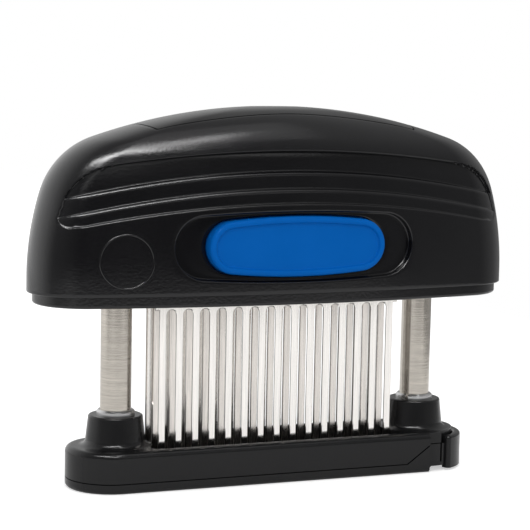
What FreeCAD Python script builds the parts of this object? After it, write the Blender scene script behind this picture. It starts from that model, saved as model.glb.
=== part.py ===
import FreeCAD, Part
import math
import os
import re

import Sketcher
from FreeCAD import Placement, Rotation, Vector

# ---------------------------------------------------------------------------
# Hand-held blade tenderizer.
# Frame: origin at the middle of the underside, between the two columns.
# +X runs along the length towards the plate's snap tab, -Y is the front,
# +Z is up.  Everything is in millimetres.
# ---------------------------------------------------------------------------

doc = FreeCAD.newDocument("blade_tenderizer")
sheet = doc.addObject("Spreadsheet::Sheet", "Sizes")

DRIVING_SIZES = {
    # columns and stroke
    "column_spacing": 101.2,
    "column_diameter": 9.525,
    "column_bore": 7.0,
    "column_seat": 7.5,
    "column_top": 68.0,
    "stroke": 32.0,
    "running_gap": 0.06,
    "collar_diameter": 11.74,
    "collar_height": 1.6,
    "bush_diameter": 12.6,
    "bush_top": 66.0,
    "spring_turns": 9,
    "spring_wire": 1.0,
    "spring_diameter": 6.4,
    "plug_top": 14.0,
    "plunger_tip": 64.0,
    "plunger_diameter": 6.0,
    "tower_roof": 100.3,
    "tower_top": 102.0,
    "tower_diameter": 13.8,
    "bolt_diameter": 3.0,
    "bolt_spacing": 26.0,
    "bolt_height": 68.0,
    "cheek": 2.56,
    # base frame and strip plate
    "base_width": 28.0,
    "base_left_reach": 65.9,
    "base_right_reach": 65.6,
    "base_height": 12.65,
    "seam_height": 3.3,
    "seam_gap": 0.3,
    "floor_top": 6.6,
    "trough_length": 84.0,
    "trough_width": 21.4,
    "boss_height": 22.0,
    "boss_top_radius": 8.35,
    "boss_foot_radius": 9.1,
    "boss_blend": 2.2,
    "upstand_height": 8.9,
    "upstand_start": 42.2,
    "upstand_wall": 2.3,
    "end_step": 1.1,
    "end_start": 50.0,
    "end_lift": 1.8,
    "tab_height": 11.3,
    "tab_angle": 75.0,
    "bead_angle": 69.0,
    "bead_bottom": 0.8,
    "bead_reach": 0.4,
    "screw_diameter": 4.0,
    "screw_head_diameter": 7.2,
    "screw_head_top": 5.0,
    # knives
    "tine_count": 15,
    "tine_pitch": 5.41,
    "tine_width": 2.15,
    "tine_tip": 4.3,
    "tine_root": 55.9,
    "comb_thickness": 0.9,
    "comb_top": 74.0,
    "comb_length": 80.8,
    "row_spacing": 6.19,
    "slot_clearance": 0.35,
    # hood and palm insert
    "hood_length": 156.4,
    "hood_width": 43.0,
    "hood_edge": 60.0,
    "hood_top": 115.8,
    "hood_wall": 2.6,
    "end_roundness": 0.744,
    "crown_radius_long": 182.0,
    "crown_radius_cross": 40.0,
    "shoulder_radius_long": 25.0,
    "shoulder_radius_cross": 16.0,
    "wall_radius_long": 90.0,
    "wall_radius_cross": 660.0,
    "insert_length": 88.8,
    "insert_width": 22.0,
    "insert_depth": 2.0,
    "insert_groove": 0.15,
    # skirt of the cartridge frame
    "skirt_bottom": 56.6,
    "skirt_inset_side": 0.7,
    "skirt_inset_end": 1.7,
    # push buttons
    "button_length": 57.2,
    "button_height": 18.3,
    "button_end": 8.0,
    "button_centre": 74.4,
    "button_face": 21.9,
    "button_travel": 2.5,
    "button_rim": 2.3,
    "button_flange": 1.4,
    "bay_face": 16.0,
    "scoop_length": 77.6,
    "scoop_height": 21.2,
    "scoop_end": 9.6,
    "scoop_depth": 2.35,
}

for row, (alias, number) in enumerate(DRIVING_SIZES.items(), start=1):
    sheet.set(f"A{row}", alias)
    sheet.set(f"B{row}", str(number))
    sheet.setAlias(f"B{row}", alias)
doc.recompute()


def value(expression):
    """Number that an expression over the sheet's names gives."""
    if isinstance(expression, (int, float)):
        return float(expression)
    result = sheet.evalExpression(expression)
    return float(getattr(result, "Value", result))


def size(alias):
    """Driving size of that name."""
    return float(sheet.get(alias))


def bind(target, place, expression):
    """Tie a property or constraint to an expression over the sheet's names."""
    if isinstance(expression, str):
        spelled = re.sub(r"[a-z_]{3,}", lambda word: f"Sizes.{word[0]}", expression)
        target.setExpression(place, spelled)


# ---------------------------------------------------------------------------
# Sketch and feature helpers
# ---------------------------------------------------------------------------

ROLES = {"XY": "XY_Plane", "XZ": "XZ_Plane", "YZ": "YZ_Plane"}


class Piece:
    """One moulded, turned or stamped piece, made as a PartDesign body."""

    def __init__(self, label):
        self.body = doc.addObject("PartDesign::Body", label)
        self.body.Label = label
        self.count = 0

    def plane(self, name):
        """Origin plane of this body."""
        for feature in self.body.Origin.OriginFeatures:
            if feature.Role == ROLES[name]:
                return feature
        raise ValueError(name)

    def sketch(self, plane="XY", offset=0.0, across=0.0, up=0.0):
        """Empty sketch on an origin plane, moved along the plane's normal and within it."""
        self.count += 1
        name = f"{self.body.Name}_outline_{self.count}"
        sketch = self.body.newObject("Sketcher::SketchObject", name)
        sketch.AttachmentSupport = [(self.plane(plane), "")]
        sketch.MapMode = "FlatFace"
        sketch.AttachmentOffset = Placement(Vector(value(across), value(up), value(offset)), Rotation())
        for axis, expression in (("x", across), ("y", up), ("z", offset)):
            bind(sketch, f"AttachmentOffset.Base.{axis}", expression)
        return sketch

    def feature(self, kind, sketch):
        """Sketch-based feature of this body."""
        self.count += 1
        made = self.body.newObject(f"PartDesign::{kind}", f"{self.body.Name}_{kind}_{self.count}")
        made.Profile = sketch
        return made

    def pad(self, sketch, length, reverse=False, middle=False):
        """Raise a sketch by a length."""
        made = self.feature("Pad", sketch)
        made.Length = value(length)
        bind(made, "Length", length)
        made.Reversed = reverse
        made.Midplane = middle
        return made

    def pocket(self, sketch, length, reverse=False, middle=False):
        """Sink a sketch by a length; it has to take material away."""
        before = self.volume()
        made = self.feature("Pocket", sketch)
        made.Length = value(length)
        bind(made, "Length", length)
        made.Reversed = reverse
        made.Midplane = middle
        if self.volume() > before - 1e-6:
            raise RuntimeError(f"{made.Name} cuts nothing")
        return made

    def turn(self, sketch, kind="Revolution"):
        """Turn a sketch on the XZ plane about its own vertical axis."""
        made = self.feature(kind, sketch)
        made.ReferenceAxis = (sketch, ["V_Axis"])
        made.Angle = 360
        return made

    def row(self, features, axis, length, count):
        """Repeat features along a sketch axis."""
        self.count += 1
        made = self.body.newObject("PartDesign::LinearPattern", f"{self.body.Name}_row_{self.count}")
        made.Originals = features
        made.Direction = axis
        made.Length = value(length)
        bind(made, "Length", length)
        made.Occurrences = int(count)
        self.body.Tip = made
        return made

    def dress(self, kind, edges, amount):
        """Fillet or chamfer the edges that a test picks from the tip's shape."""
        doc.recompute()
        base = self.body.Tip
        names = [f"Edge{i}" for i, edge in enumerate(base.Shape.Edges, start=1) if edges(edge)]
        if not names:
            raise RuntimeError(f"no edges to dress on {self.body.Label}")
        self.count += 1
        made = self.body.newObject(f"PartDesign::{kind}", f"{self.body.Name}_{kind}_{self.count}")
        made.Base = (base, names)
        setattr(made, "Radius" if kind == "Fillet" else "Size", value(amount))
        self.body.Tip = made
        return made

    def volume(self):
        """Volume of the body as built so far."""
        doc.recompute()
        return self.body.Shape.Volume


def fix(sketch, index, point, across, up):
    """Hold a point of a sketch at two expressions measured from its origin."""
    for kind, expression in (("DistanceX", across), ("DistanceY", up)):
        number = sketch.addConstraint(Sketcher.Constraint(kind, -1, 1, index, point, value(expression)))
        bind(sketch, f"Constraints[{number}]", expression)


def circle(sketch, across, up, diameter):
    """Circle with its centre and diameter held."""
    centre = Vector(value(across), value(up), 0)
    index = sketch.addGeometry(Part.Circle(centre, Vector(0, 0, 1), value(diameter) / 2))
    fix(sketch, index, 3, across, up)
    number = sketch.addConstraint(Sketcher.Constraint("Diameter", index, value(diameter)))
    bind(sketch, f"Constraints[{number}]", diameter)


def rectangle(sketch, left, right, low, high):
    """Upright rectangle between four held sides."""
    corners = [(left, low), (right, low), (right, high), (left, high)]
    points = [Vector(value(across), value(up), 0) for across, up in corners]
    first = sketch.GeometryCount
    for i in range(4):
        sketch.addGeometry(Part.LineSegment(points[i], points[(i + 1) % 4]))
    for i in range(4):
        sketch.addConstraint(Sketcher.Constraint("Coincident", first + i, 2, first + (i + 1) % 4, 1))
    for i, kind in enumerate(("Horizontal", "Vertical", "Horizontal", "Vertical")):
        sketch.addConstraint(Sketcher.Constraint(kind, first + i))
    fix(sketch, first, 1, left, low)
    fix(sketch, first + 2, 1, right, high)


def trace(sketch, edges):
    """Closed outline from line and arc segments worked out from the sheet."""
    for edge in edges:
        index = sketch.addGeometry(edge)
        sketch.addConstraint(Sketcher.Constraint("Block", index))


def polygon(points):
    """Straight segments through points, closed."""
    vectors = [Vector(x, y, 0) for x, y in points]
    return [Part.LineSegment(a, b) for a, b in zip(vectors, vectors[1:] + vectors[:1])]


def arc(start, middle, end):
    """Arc segment through three points of a plane."""
    return Part.Arc(Vector(*start, 0), Vector(*middle, 0), Vector(*end, 0))


def line(start, end):
    """Line segment between two points of a plane."""
    return Part.LineSegment(Vector(*start, 0), Vector(*end, 0))


def stadium(left, right, radius):
    """Long round-ended outline between two end centres."""
    return [
        line((left, -radius), (right, -radius)),
        arc((right, -radius), (right + radius, 0), (right, radius)),
        line((right, radius), (left, radius)),
        arc((left, radius), (left - radius, 0), (left, -radius)),
    ]


def bowed(half_length, half_width, end_radius, up=0.0):
    """Oval of two long side arcs and two tangent end arcs, about a centre on the second axis."""
    centre = half_length - end_radius
    side = (centre**2 + half_width**2 - end_radius**2) / (2 * (half_width - end_radius))
    sink = side - half_width
    scale = end_radius / (side - end_radius)
    joint = (centre + centre * scale, sink * scale)
    corners = [
        (joint[0], up - joint[1]),
        (joint[0], up + joint[1]),
        (-joint[0], up + joint[1]),
        (-joint[0], up - joint[1]),
    ]
    return [
        arc(corners[0], (half_length, up), corners[1]),
        arc(corners[1], (0, up + half_width), corners[2]),
        arc(corners[2], (-half_length, up), corners[3]),
        arc(corners[3], (0, up - half_width), corners[0]),
    ]


def face(edges, height=0.0):
    """Flat face on a level from closed segments."""
    made = Part.Face(Part.Wire([edge.toShape() for edge in edges]))
    made.translate(Vector(0, 0, height))
    return made


def prism(edges, low, high):
    """Upright solid over a plan outline."""
    return face(edges, low).extrude(Vector(0, 0, high - low))


def side_prism(edges, near, far):
    """Solid over an elevation outline (X, Z), between two depths."""
    made = face(edges)
    made.rotate(Vector(0, 0, 0), Vector(1, 0, 0), 90)
    made.translate(Vector(0, near, 0))
    return made.extrude(Vector(0, far - near, 0))


def block(x, y, z):
    """Box between two bounds on each axis."""
    made = Part.makeBox(x[1] - x[0], y[1] - y[0], z[1] - z[0])
    made.translate(Vector(x[0], y[0], z[0]))
    return made


def keep(label, shape):
    """Sub-part whose shape is built with Part's own functions."""
    made = doc.addObject("Part::Feature", label)
    made.Label = label
    made.Shape = shape
    return made


# ---------------------------------------------------------------------------
# Base: frame with two column bosses, and the swing-down strip plate
# ---------------------------------------------------------------------------

COLUMN_X = size("column_spacing") / 2
SIDES = {"left": "-column_spacing / 2", "right": "column_spacing / 2"}
BASE_RADIUS = size("base_width") / 2
BASE_LEFT = -size("base_left_reach") + BASE_RADIUS
BASE_RIGHT = size("base_right_reach") - BASE_RADIUS
BASE_TOP = size("base_height")
SEAM = size("seam_height")
PLATE_TOP = SEAM - size("seam_gap")
UPSTAND_TOP = size("upstand_height")
UPSTAND_START = size("upstand_start")
UPSTAND_SLOPE = (size("end_start") - UPSTAND_START) / (UPSTAND_TOP - SEAM)
TAB_WALL = 2.2
PART_GAP = 0.3
HOOK_RADIUS = 4.0
HOOK_WALL = 1.4
HOOK_ANGLE = 65.0
HOOK_WIDTH = 7.0
FAR = 200.0
TINES = int(size("tine_count"))
ROWS = {"front": -size("row_spacing"), "middle": 0.0, "rear": size("row_spacing")}


def ring_sector(inner, outer, angle):
    """Ring sector round the right end of the base, open to its middle."""
    turn = math.radians(angle)

    def point(radius, here):
        return (BASE_RIGHT + radius * math.cos(here), radius * math.sin(here))

    return [
        arc(point(outer, -turn), point(outer, 0), point(outer, turn)),
        line(point(outer, turn), point(inner, turn)),
        arc(point(inner, turn), point(inner, 0), point(inner, -turn)),
        line(point(inner, -turn), point(outer, -turn)),
    ]


def above_upstand(bottom, lift):
    """Elevation outline over the side walls: level, slanting, then level."""
    rise = UPSTAND_TOP + lift - bottom
    start = UPSTAND_START - lift
    return polygon([
        (-FAR, bottom),
        (start, bottom),
        (start + rise * UPSTAND_SLOPE, bottom + rise),
        (FAR, bottom + rise),
        (FAR, FAR),
        (-FAR, FAR),
    ])


def end_recess(piece, height):
    """Step the right end of the base in, from the foot of the slant round to the tab."""
    sketch = piece.sketch("XY", height)
    start = size("end_start")
    inner = BASE_RADIUS - size("end_step")
    outer = BASE_RADIUS + 2
    trace(sketch, [
        line((start, -outer), (BASE_RIGHT, -outer)),
        arc((BASE_RIGHT, -outer), (BASE_RIGHT + outer, 0), (BASE_RIGHT, outer)),
        line((BASE_RIGHT, outer), (start, outer)),
        line((start, outer), (start, inner)),
        line((start, inner), (BASE_RIGHT, inner)),
        arc((BASE_RIGHT, inner), (BASE_RIGHT + inner, 0), (BASE_RIGHT, -inner)),
        line((BASE_RIGHT, -inner), (start, -inner)),
        line((start, -inner), (start, -outer)),
    ])
    piece.pocket(sketch, FAR)


def slot_rows(piece, top, depth):
    """One clearance hole for each tine: three rows, repeated along the length."""
    gap = size("slot_clearance")
    across = size("tine_width") / 2 + gap
    deep = size("comb_thickness") / 2 + gap
    first = -(TINES - 1) / 2 * size("tine_pitch")
    sketch = piece.sketch("XY", top)
    for row in ROWS.values():
        rectangle(sketch, first - across, first + across, row - deep, row + deep)
    holes = piece.pocket(sketch, depth)
    piece.row([holes], (sketch, ["H_Axis"]), "tine_pitch * (tine_count - 1)", TINES)


def hook_outline(gap):
    """Ring sector of the curved hinge hook, round the left edge of the seam."""
    inner = HOOK_RADIUS - gap
    outer = HOOK_RADIUS + HOOK_WALL + gap
    turn = math.radians(HOOK_ANGLE + 10 * gap)
    axis = (BASE_LEFT - BASE_RADIUS, SEAM)

    def point(radius, here):
        return (axis[0] + radius * math.cos(here), axis[1] + radius * math.sin(here))

    low = -2.0
    return [
        line((axis[0] + inner, axis[1] + low), (axis[0] + outer, axis[1] + low)),
        line((axis[0] + outer, axis[1] + low), point(outer, 0)),
        arc(point(outer, 0), point(outer, turn / 2), point(outer, turn)),
        line(point(outer, turn), point(inner, turn)),
        arc(point(inner, turn), point(inner, turn / 2), point(inner, 0)),
        line(point(inner, 0), (axis[0] + inner, axis[1] + low)),
    ]


def build_relief():
    """Room in the base frame for the plate's side walls and its snap tab."""
    tool = Piece("end_relief")
    lift = size("seam_gap")
    ring = tool.sketch("XY", 0.0)
    trace(ring, stadium(BASE_LEFT, BASE_RIGHT, BASE_RADIUS + 1))
    tool.pad(ring, "base_height + 10")
    core = tool.sketch("XY", 0.0)
    trace(core, stadium(BASE_LEFT, BASE_RIGHT, BASE_RADIUS - size("upstand_wall") - lift))
    tool.pocket(core, FAR, reverse=True)
    above = tool.sketch("XZ")
    trace(above, above_upstand(SEAM, lift))
    tool.pocket(above, FAR, middle=True)
    tab = tool.sketch("XY", 0.0)
    trace(tab, ring_sector(BASE_RADIUS - TAB_WALL - PART_GAP, BASE_RADIUS + 1, size("tab_angle") + 2))
    tool.pad(tab, "base_height + 10")
    return tool.body


def build_base_frame():
    """Round-ended frame with its trough, drilled floor and two bosses."""
    frame = Piece("base_frame_solid")
    outline = frame.sketch("XY", "seam_height")
    trace(outline, stadium(BASE_LEFT, BASE_RIGHT, BASE_RADIUS))
    frame.pad(outline, "base_height - seam_height")
    frame.dress("Fillet", lambda edge: edge.BoundBox.ZMin > BASE_TOP - 0.01, 1.8)
    end_recess(frame, "base_height")

    trough = frame.sketch("XY", "base_height")
    rectangle(trough, "-trough_length / 2", "trough_length / 2", "-trough_width / 2", "trough_width / 2")
    frame.pocket(trough, "base_height - floor_top")
    inside = size("trough_length") / 2
    frame.dress("Fillet", lambda edge: edge.BoundBox.ZLength > 3 and edge.BoundBox.XLength < 0.01
                and abs(abs(edge.BoundBox.XMin) - inside) < 0.01, 2.5)

    foot = size("boss_foot_radius")
    blend = size("boss_blend")
    boss_top = size("boss_height")
    crest = size("boss_top_radius")
    round_over = 0.6
    sag = blend * (1 - math.cos(math.radians(45)))
    tuck = round_over * (1 - math.cos(math.radians(45)))
    profile = [
        line((0, SEAM + 1), (foot + blend, SEAM + 1)),
        line((foot + blend, SEAM + 1), (foot + blend, BASE_TOP)),
        arc((foot + blend, BASE_TOP), (foot + sag, BASE_TOP + sag), (foot, BASE_TOP + blend)),
        line((foot, BASE_TOP + blend), (crest, boss_top - round_over)),
        arc((crest, boss_top - round_over), (crest - tuck, boss_top - tuck), (crest - round_over, boss_top)),
        line((crest - round_over, boss_top), (0, boss_top)),
        line((0, boss_top), (0, SEAM + 1)),
    ]
    for across in SIDES.values():
        boss = frame.sketch("XZ", across=across)
        trace(boss, profile)
        frame.turn(boss)
    for across in SIDES.values():
        socket = frame.sketch("XY", "boss_height")
        circle(socket, across, 0.0, "column_diameter")
        frame.pocket(socket, "boss_height - column_seat")
        screw_way = frame.sketch("XY", "column_seat")
        circle(screw_way, across, 0.0, "screw_diameter + 0.4")
        frame.pocket(screw_way, FAR)
        head_way = frame.sketch("XY", "screw_head_top")
        circle(head_way, across, 0.0, "screw_head_diameter + 0.8")
        frame.pocket(head_way, FAR)
    slot_rows(frame, "floor_top", FAR)
    hook_way = frame.sketch("XZ")
    trace(hook_way, hook_outline(PART_GAP))
    frame.pocket(hook_way, HOOK_WIDTH + 2 * PART_GAP, middle=True)

    doc.recompute()
    cut = doc.addObject("Part::Cut", "base_frame")
    cut.Label = "base_frame"
    cut.Base = frame.body
    cut.Tool = build_relief()
    return cut


def build_strip_plate():
    """Drilled plate under the base, with raised side walls and a beaded snap tab."""
    plate = Piece("strip_plate")
    outline = plate.sketch("XY", 0.0)
    trace(outline, stadium(BASE_LEFT, BASE_RIGHT, BASE_RADIUS))
    plate.pad(outline, "upstand_height")
    plate.dress("Fillet", lambda edge: edge.BoundBox.ZMax < 0.01, 1.4)
    end_recess(plate, "upstand_height")
    lift = plate.sketch("XZ")
    start = size("end_start")
    trace(lift, polygon([
        (start + 0.2, -1),
        (start + 0.2, size("end_lift") - 0.8),
        (start + 1.0, size("end_lift")),
        (FAR, size("end_lift")),
        (FAR, -1),
    ]))
    plate.pocket(lift, FAR, middle=True)
    core = plate.sketch("XY", "seam_height - seam_gap")
    trace(core, stadium(BASE_LEFT, BASE_RIGHT, BASE_RADIUS - size("upstand_wall")))
    plate.pocket(core, FAR, reverse=True)
    above = plate.sketch("XZ")
    trace(above, above_upstand(PLATE_TOP, 0.0))
    plate.pocket(above, FAR, middle=True)
    slit = plate.sketch("XY", "seam_height - seam_gap")
    trace(slit, ring_sector(BASE_RADIUS - 3, BASE_RADIUS + 1, size("tab_angle") + 3))
    plate.pocket(slit, FAR, reverse=True)
    tab_inside = BASE_RADIUS - TAB_WALL
    tab = plate.sketch("XY", "end_lift")
    trace(tab, ring_sector(tab_inside, BASE_RADIUS - size("end_step"), size("tab_angle")))
    plate.pad(tab, "upstand_height - end_lift")
    bead = plate.sketch("XY", "bead_bottom")
    trace(bead, ring_sector(tab_inside, BASE_RADIUS + size("bead_reach"), size("bead_angle")))
    plate.pad(bead, "tab_height - bead_bottom")
    bead_top = size("tab_height")
    plate.dress("Fillet", lambda edge: edge.BoundBox.ZMax > bead_top - 0.01 and edge.BoundBox.ZLength > 5
                and edge.BoundBox.XMin > BASE_RIGHT and abs(edge.BoundBox.YMin) > 12.5, 1.2)
    plate.dress("Fillet", lambda edge: edge.BoundBox.ZMin > bead_top - 0.01, 0.9)
    hook = plate.sketch("XZ")
    trace(hook, hook_outline(0.0))
    plate.pad(hook, HOOK_WIDTH, middle=True)
    slot_rows(plate, "seam_height - seam_gap", FAR)
    return plate.body


# ---------------------------------------------------------------------------
# Columns and what stands in them
# ---------------------------------------------------------------------------

COLUMN_RADIUS = size("column_diameter") / 2
BORE_RADIUS = size("column_bore") / 2
CLIP_GROOVE = 0.4
CLIP_LOW = size("bush_top") + 0.1
CLIP_HIGH = CLIP_LOW + 0.9
SPLIT = 1.0


def turned_piece(label, across, points):
    """Solid of revolution about one of the upright column axes."""
    piece = Piece(label)
    profile = piece.sketch("XZ", across=across)
    trace(profile, polygon(points))
    piece.turn(profile)
    return piece


def build_column(side, across):
    """Stainless tube with a clip groove near its upper end."""
    foot = size("column_seat")
    top = size("column_top")
    groove = COLUMN_RADIUS - CLIP_GROOVE
    turned_piece(f"{side}_column", across, [
        (BORE_RADIUS, foot),
        (COLUMN_RADIUS, foot),
        (COLUMN_RADIUS, CLIP_LOW),
        (groove, CLIP_LOW),
        (groove, CLIP_HIGH),
        (COLUMN_RADIUS, CLIP_HIGH),
        (COLUMN_RADIUS, top - 0.4),
        (COLUMN_RADIUS - 0.4, top),
        (BORE_RADIUS, top),
    ])


def build_ring(label, across, radii, levels, split_angle):
    """Spring-steel ring, chamfered on top and split at one angle."""
    inner, outer = radii
    low, high = levels
    edge = 0.35 * (high - low)
    ring = turned_piece(label, across, [
        (inner, low),
        (outer, low),
        (outer, high - edge),
        (outer - edge, high),
        (inner, high),
    ])
    gap = ring.sketch("XY", high, across=across)
    turn = math.radians(split_angle)
    away = (math.cos(turn), math.sin(turn))
    beside = (-away[1] * SPLIT / 2, away[0] * SPLIT / 2)
    far = (away[0] * (outer + 1), away[1] * (outer + 1))
    trace(gap, polygon([
        (-beside[0], -beside[1]),
        (far[0] - beside[0], far[1] - beside[1]),
        (far[0] + beside[0], far[1] + beside[1]),
        beside,
    ]))
    ring.pocket(gap, FAR)
    return ring


def build_plug(side, across):
    """Threaded plug pressed into the foot of a column."""
    foot = size("column_seat")
    top = size("plug_top")
    screw = size("screw_diameter") / 2
    turned_piece(f"{side}_foot_plug", across, [
        (screw, foot),
        (BORE_RADIUS, foot),
        (BORE_RADIUS, top - 0.5),
        (BORE_RADIUS - 0.5, top),
        (0, top),
        (0, top - 1.5),
        (screw, top - 1.5),
    ])


def build_foot_screw(side, across):
    """Flat-headed screw that pulls a column down into its boss."""
    head_top = size("screw_head_top")
    head = size("screw_head_diameter") / 2
    shank = size("screw_diameter") / 2 - 0.02
    end = size("plug_top") - 2.0
    screw = turned_piece(f"{side}_foot_screw", across, [
        (0, SEAM + 0.2),
        (head - 0.5, SEAM + 0.2),
        (head, SEAM + 0.7),
        (head, head_top),
        (shank, head_top),
        (shank, end - 0.5),
        (shank - 0.5, end),
        (0, end),
    ])
    slot = screw.sketch("XY", SEAM + 0.2)
    rectangle(slot, value(across) - head, value(across) + head, -0.5, 0.5)
    screw.pocket(slot, 0.8, reverse=True)
    return screw.body


def build_spring(side, across):
    """Compression spring standing on the plug, under the plunger."""
    wire = size("spring_wire")
    coil = size("spring_diameter") / 2 - wire / 2
    low = size("plug_top") + wire / 2
    travel = size("plunger_tip") - size("plug_top") - wire
    spring = Piece(f"{side}_spring")
    section = spring.sketch("XZ", across=across)
    section.addGeometry(Part.Circle(Vector(coil, low, 0), Vector(0, 0, 1), wire / 2))
    section.addConstraint(Sketcher.Constraint("Block", 0))
    helix = spring.feature("AdditiveHelix", section)
    helix.ReferenceAxis = (section, ["V_Axis"])
    helix.Mode = "pitch-height-angle"
    helix.Pitch = travel / size("spring_turns")
    helix.Height = travel
    return spring


def build_bush(side, across):
    """Plain sliding bush that guides the hood on its column."""
    low = size("skirt_bottom") + 0.2
    top = size("bush_top")
    bore = COLUMN_RADIUS + size("running_gap")
    outer = size("bush_diameter") / 2
    turned_piece(f"{side}_guide_bush", across, [
        (bore + 0.4, low),
        (outer, low),
        (outer, top),
        (bore + 0.4, top),
        (bore, top - 0.4),
        (bore, low + 0.4),
    ])


def build_plunger(side, across):
    """Steel rod that hangs from the tower's roof and works the spring."""
    tip = size("plunger_tip")
    roof = size("tower_roof")
    rod = size("plunger_diameter") / 2
    turned_piece(f"{side}_plunger", across, [
        (0, tip),
        (rod, tip),
        (rod, roof),
        (rod / 2, roof),
        (rod / 2, roof + 1.0),
        (0, roof + 1.0),
    ])


# ---------------------------------------------------------------------------
# Knife cartridge
# ---------------------------------------------------------------------------

BOLTS = [-size("bolt_spacing"), 0.0, size("bolt_spacing")]
BOLT_Z = size("bolt_height")
COMB_HALF = size("comb_length") / 2
SHEET = size("comb_thickness")
STACK = size("row_spacing") + SHEET / 2
CHEEK_FACE = STACK + size("cheek")
SKIRT_LOW = size("skirt_bottom")
HOOD_EDGE = size("hood_edge")
HALF_LENGTH = size("hood_length") / 2
HALF_WIDTH = size("hood_width") / 2
ROUNDNESS = size("end_roundness")
CATCH_FACE = 13.9
CATCH_WALL = 1.5
CATCH_TOP = 63.6
TOE_LOW = 61.1
TOE_HIGH = 62.3
LATCH_X = 13.0
LATCH_WIDTH = 8.0


def inset_oval(side_inset, end_inset):
    """Hood's plan outline at its lower edge, drawn in at sides and ends."""
    width = HALF_WIDTH - side_inset
    return bowed(HALF_LENGTH - end_inset, width, ROUNDNESS * width)


def bolt_holes(piece, diameter):
    """Row of cross holes through the knife stack."""
    holes = piece.sketch("XZ")
    for across in BOLTS:
        circle(holes, across, "bolt_height", diameter)
    piece.pocket(holes, FAR, middle=True)


def build_comb(row, depth):
    """Stamped knife comb: band above, fifteen chisel-ended tines below."""
    pitch = size("tine_pitch")
    half = size("tine_width") / 2
    tip = size("tine_tip")
    root = size("tine_root")
    top = size("comb_top")
    slot = pitch / 2 - half
    first = -(TINES - 1) / 2 * pitch
    slant = 1.5
    edges = []
    for number in range(TINES):
        middle = first + number * pitch
        left, right = middle - half, middle + half
        upper_left = (left, root - slot) if number else (left, root)
        upper_right = (right, root - slot) if number < TINES - 1 else (right, root)
        edges.append(line(upper_left, (left, tip + slant)))
        edges.append(line((left, tip + slant), (right, tip)))
        edges.append(line((right, tip), upper_right))
        if number < TINES - 1:
            edges.append(arc(upper_right, (right + slot, root), (right + 2 * slot, root - slot)))
    edges += [
        line((-first + half, root), (COMB_HALF, root)),
        line((COMB_HALF, root), (COMB_HALF, top)),
        line((COMB_HALF, top), (-COMB_HALF, top)),
        line((-COMB_HALF, top), (-COMB_HALF, root)),
        line((-COMB_HALF, root), (first - half, root)),
    ]
    comb = Piece(f"{row}_comb")
    blank = comb.sketch("XZ", -depth)
    trace(blank, edges)
    comb.pad(blank, "comb_thickness", middle=True)
    bolt_holes(comb, "bolt_diameter + 0.1")
    grind = 4.0
    bevel = comb.sketch("YZ")
    front = depth - SHEET / 2
    trace(bevel, polygon([
        (front - 1, tip - 1),
        (front + SHEET - 0.12, tip - 1),
        (front + SHEET - 0.12, tip),
        (front, tip + grind),
        (front - 1, tip + grind),
    ]))
    comb.pocket(bevel, FAR, middle=True)


def build_spacer(label, low, high):
    """Bar that fills the space between two combs."""
    spacer = Piece(label)
    bar = spacer.sketch("XY", "skirt_bottom + 0.4")
    rectangle(bar, "-comb_length / 2", "comb_length / 2", low, high)
    spacer.pad(bar, "comb_top - skirt_bottom - 0.4")
    bolt_holes(spacer, "bolt_diameter + 0.1")


def build_frame():
    """Cartridge frame: skirt, spigot, knife box, towers and catch walls."""
    frame = Piece("cartridge_frame")
    skirt = frame.sketch("XY", "skirt_bottom")
    trace(skirt, inset_oval(size("skirt_inset_side"), size("skirt_inset_end")))
    frame.pad(skirt, "hood_edge - skirt_bottom")
    frame.dress("Fillet", lambda edge: edge.BoundBox.ZMax < SKIRT_LOW + 0.01, 0.9)
    wall = size("hood_wall") + PART_GAP
    spigot = frame.sketch("XY", "hood_edge - 1")
    trace(spigot, inset_oval(wall, wall))
    trace(spigot, inset_oval(wall + 1.6, wall + 1.6))
    frame.pad(spigot, 3.0)
    box = frame.sketch("XY", "hood_edge - 1")
    rectangle(box, -COMB_HALF - 2.4, COMB_HALF + 2.4, -CHEEK_FACE, CHEEK_FACE)
    frame.pad(box, "comb_top - hood_edge + 1")
    catch = frame.sketch("XY", "hood_edge - 1")
    for low, high in ((CATCH_FACE, CATCH_FACE + CATCH_WALL), (-CATCH_FACE - CATCH_WALL, -CATCH_FACE)):
        rectangle(catch, -LATCH_X - 6, LATCH_X + 6, low, high)
    frame.pad(catch, CATCH_TOP - HOOD_EDGE + 1)

    radius = size("tower_diameter") / 2
    top = size("tower_top")
    for across in SIDES.values():
        tower = frame.sketch("XZ", across=across)
        trace(tower, polygon([
            (0, HOOD_EDGE - 1),
            (radius + 2.6, HOOD_EDGE - 1),
            (radius + 1.3, HOOD_EDGE + 1.5),
            (radius + 1.3, HOOD_EDGE + 8.5),
            (radius, HOOD_EDGE + 10),
            (radius, top - 1.5),
            (radius - 1.5, top),
            (0, top),
        ]))
        frame.turn(tower)
    stack = frame.sketch("XY", "comb_top")
    rectangle(stack, -COMB_HALF, COMB_HALF, -STACK, STACK)
    frame.pocket(stack, FAR)
    windows = frame.sketch("XZ")
    for across in (-LATCH_X, LATCH_X):
        half = LATCH_WIDTH / 2 + PART_GAP
        rectangle(windows, across - half, across + half, TOE_LOW - PART_GAP, TOE_HIGH + 0.2)
    frame.pocket(windows, 2 * (CATCH_FACE + CATCH_WALL + 0.1), middle=True)
    bolt_holes(frame, "bolt_diameter + 0.1")
    for across in SIDES.values():
        bore = frame.sketch("XY", "skirt_bottom")
        circle(bore, across, 0.0, "bush_diameter")
        frame.pocket(bore, "bush_top + 0.1 - skirt_bottom", reverse=True)
        way = frame.sketch("XY", "skirt_bottom")
        circle(way, across, 0.0, "column_diameter + 1.8")
        frame.pocket(way, "tower_roof - skirt_bottom", reverse=True)
        pin = frame.sketch("XY", "skirt_bottom")
        circle(pin, across, 0.0, "plunger_diameter / 2")
        frame.pocket(pin, "tower_roof + 1 - skirt_bottom", reverse=True)


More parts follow.
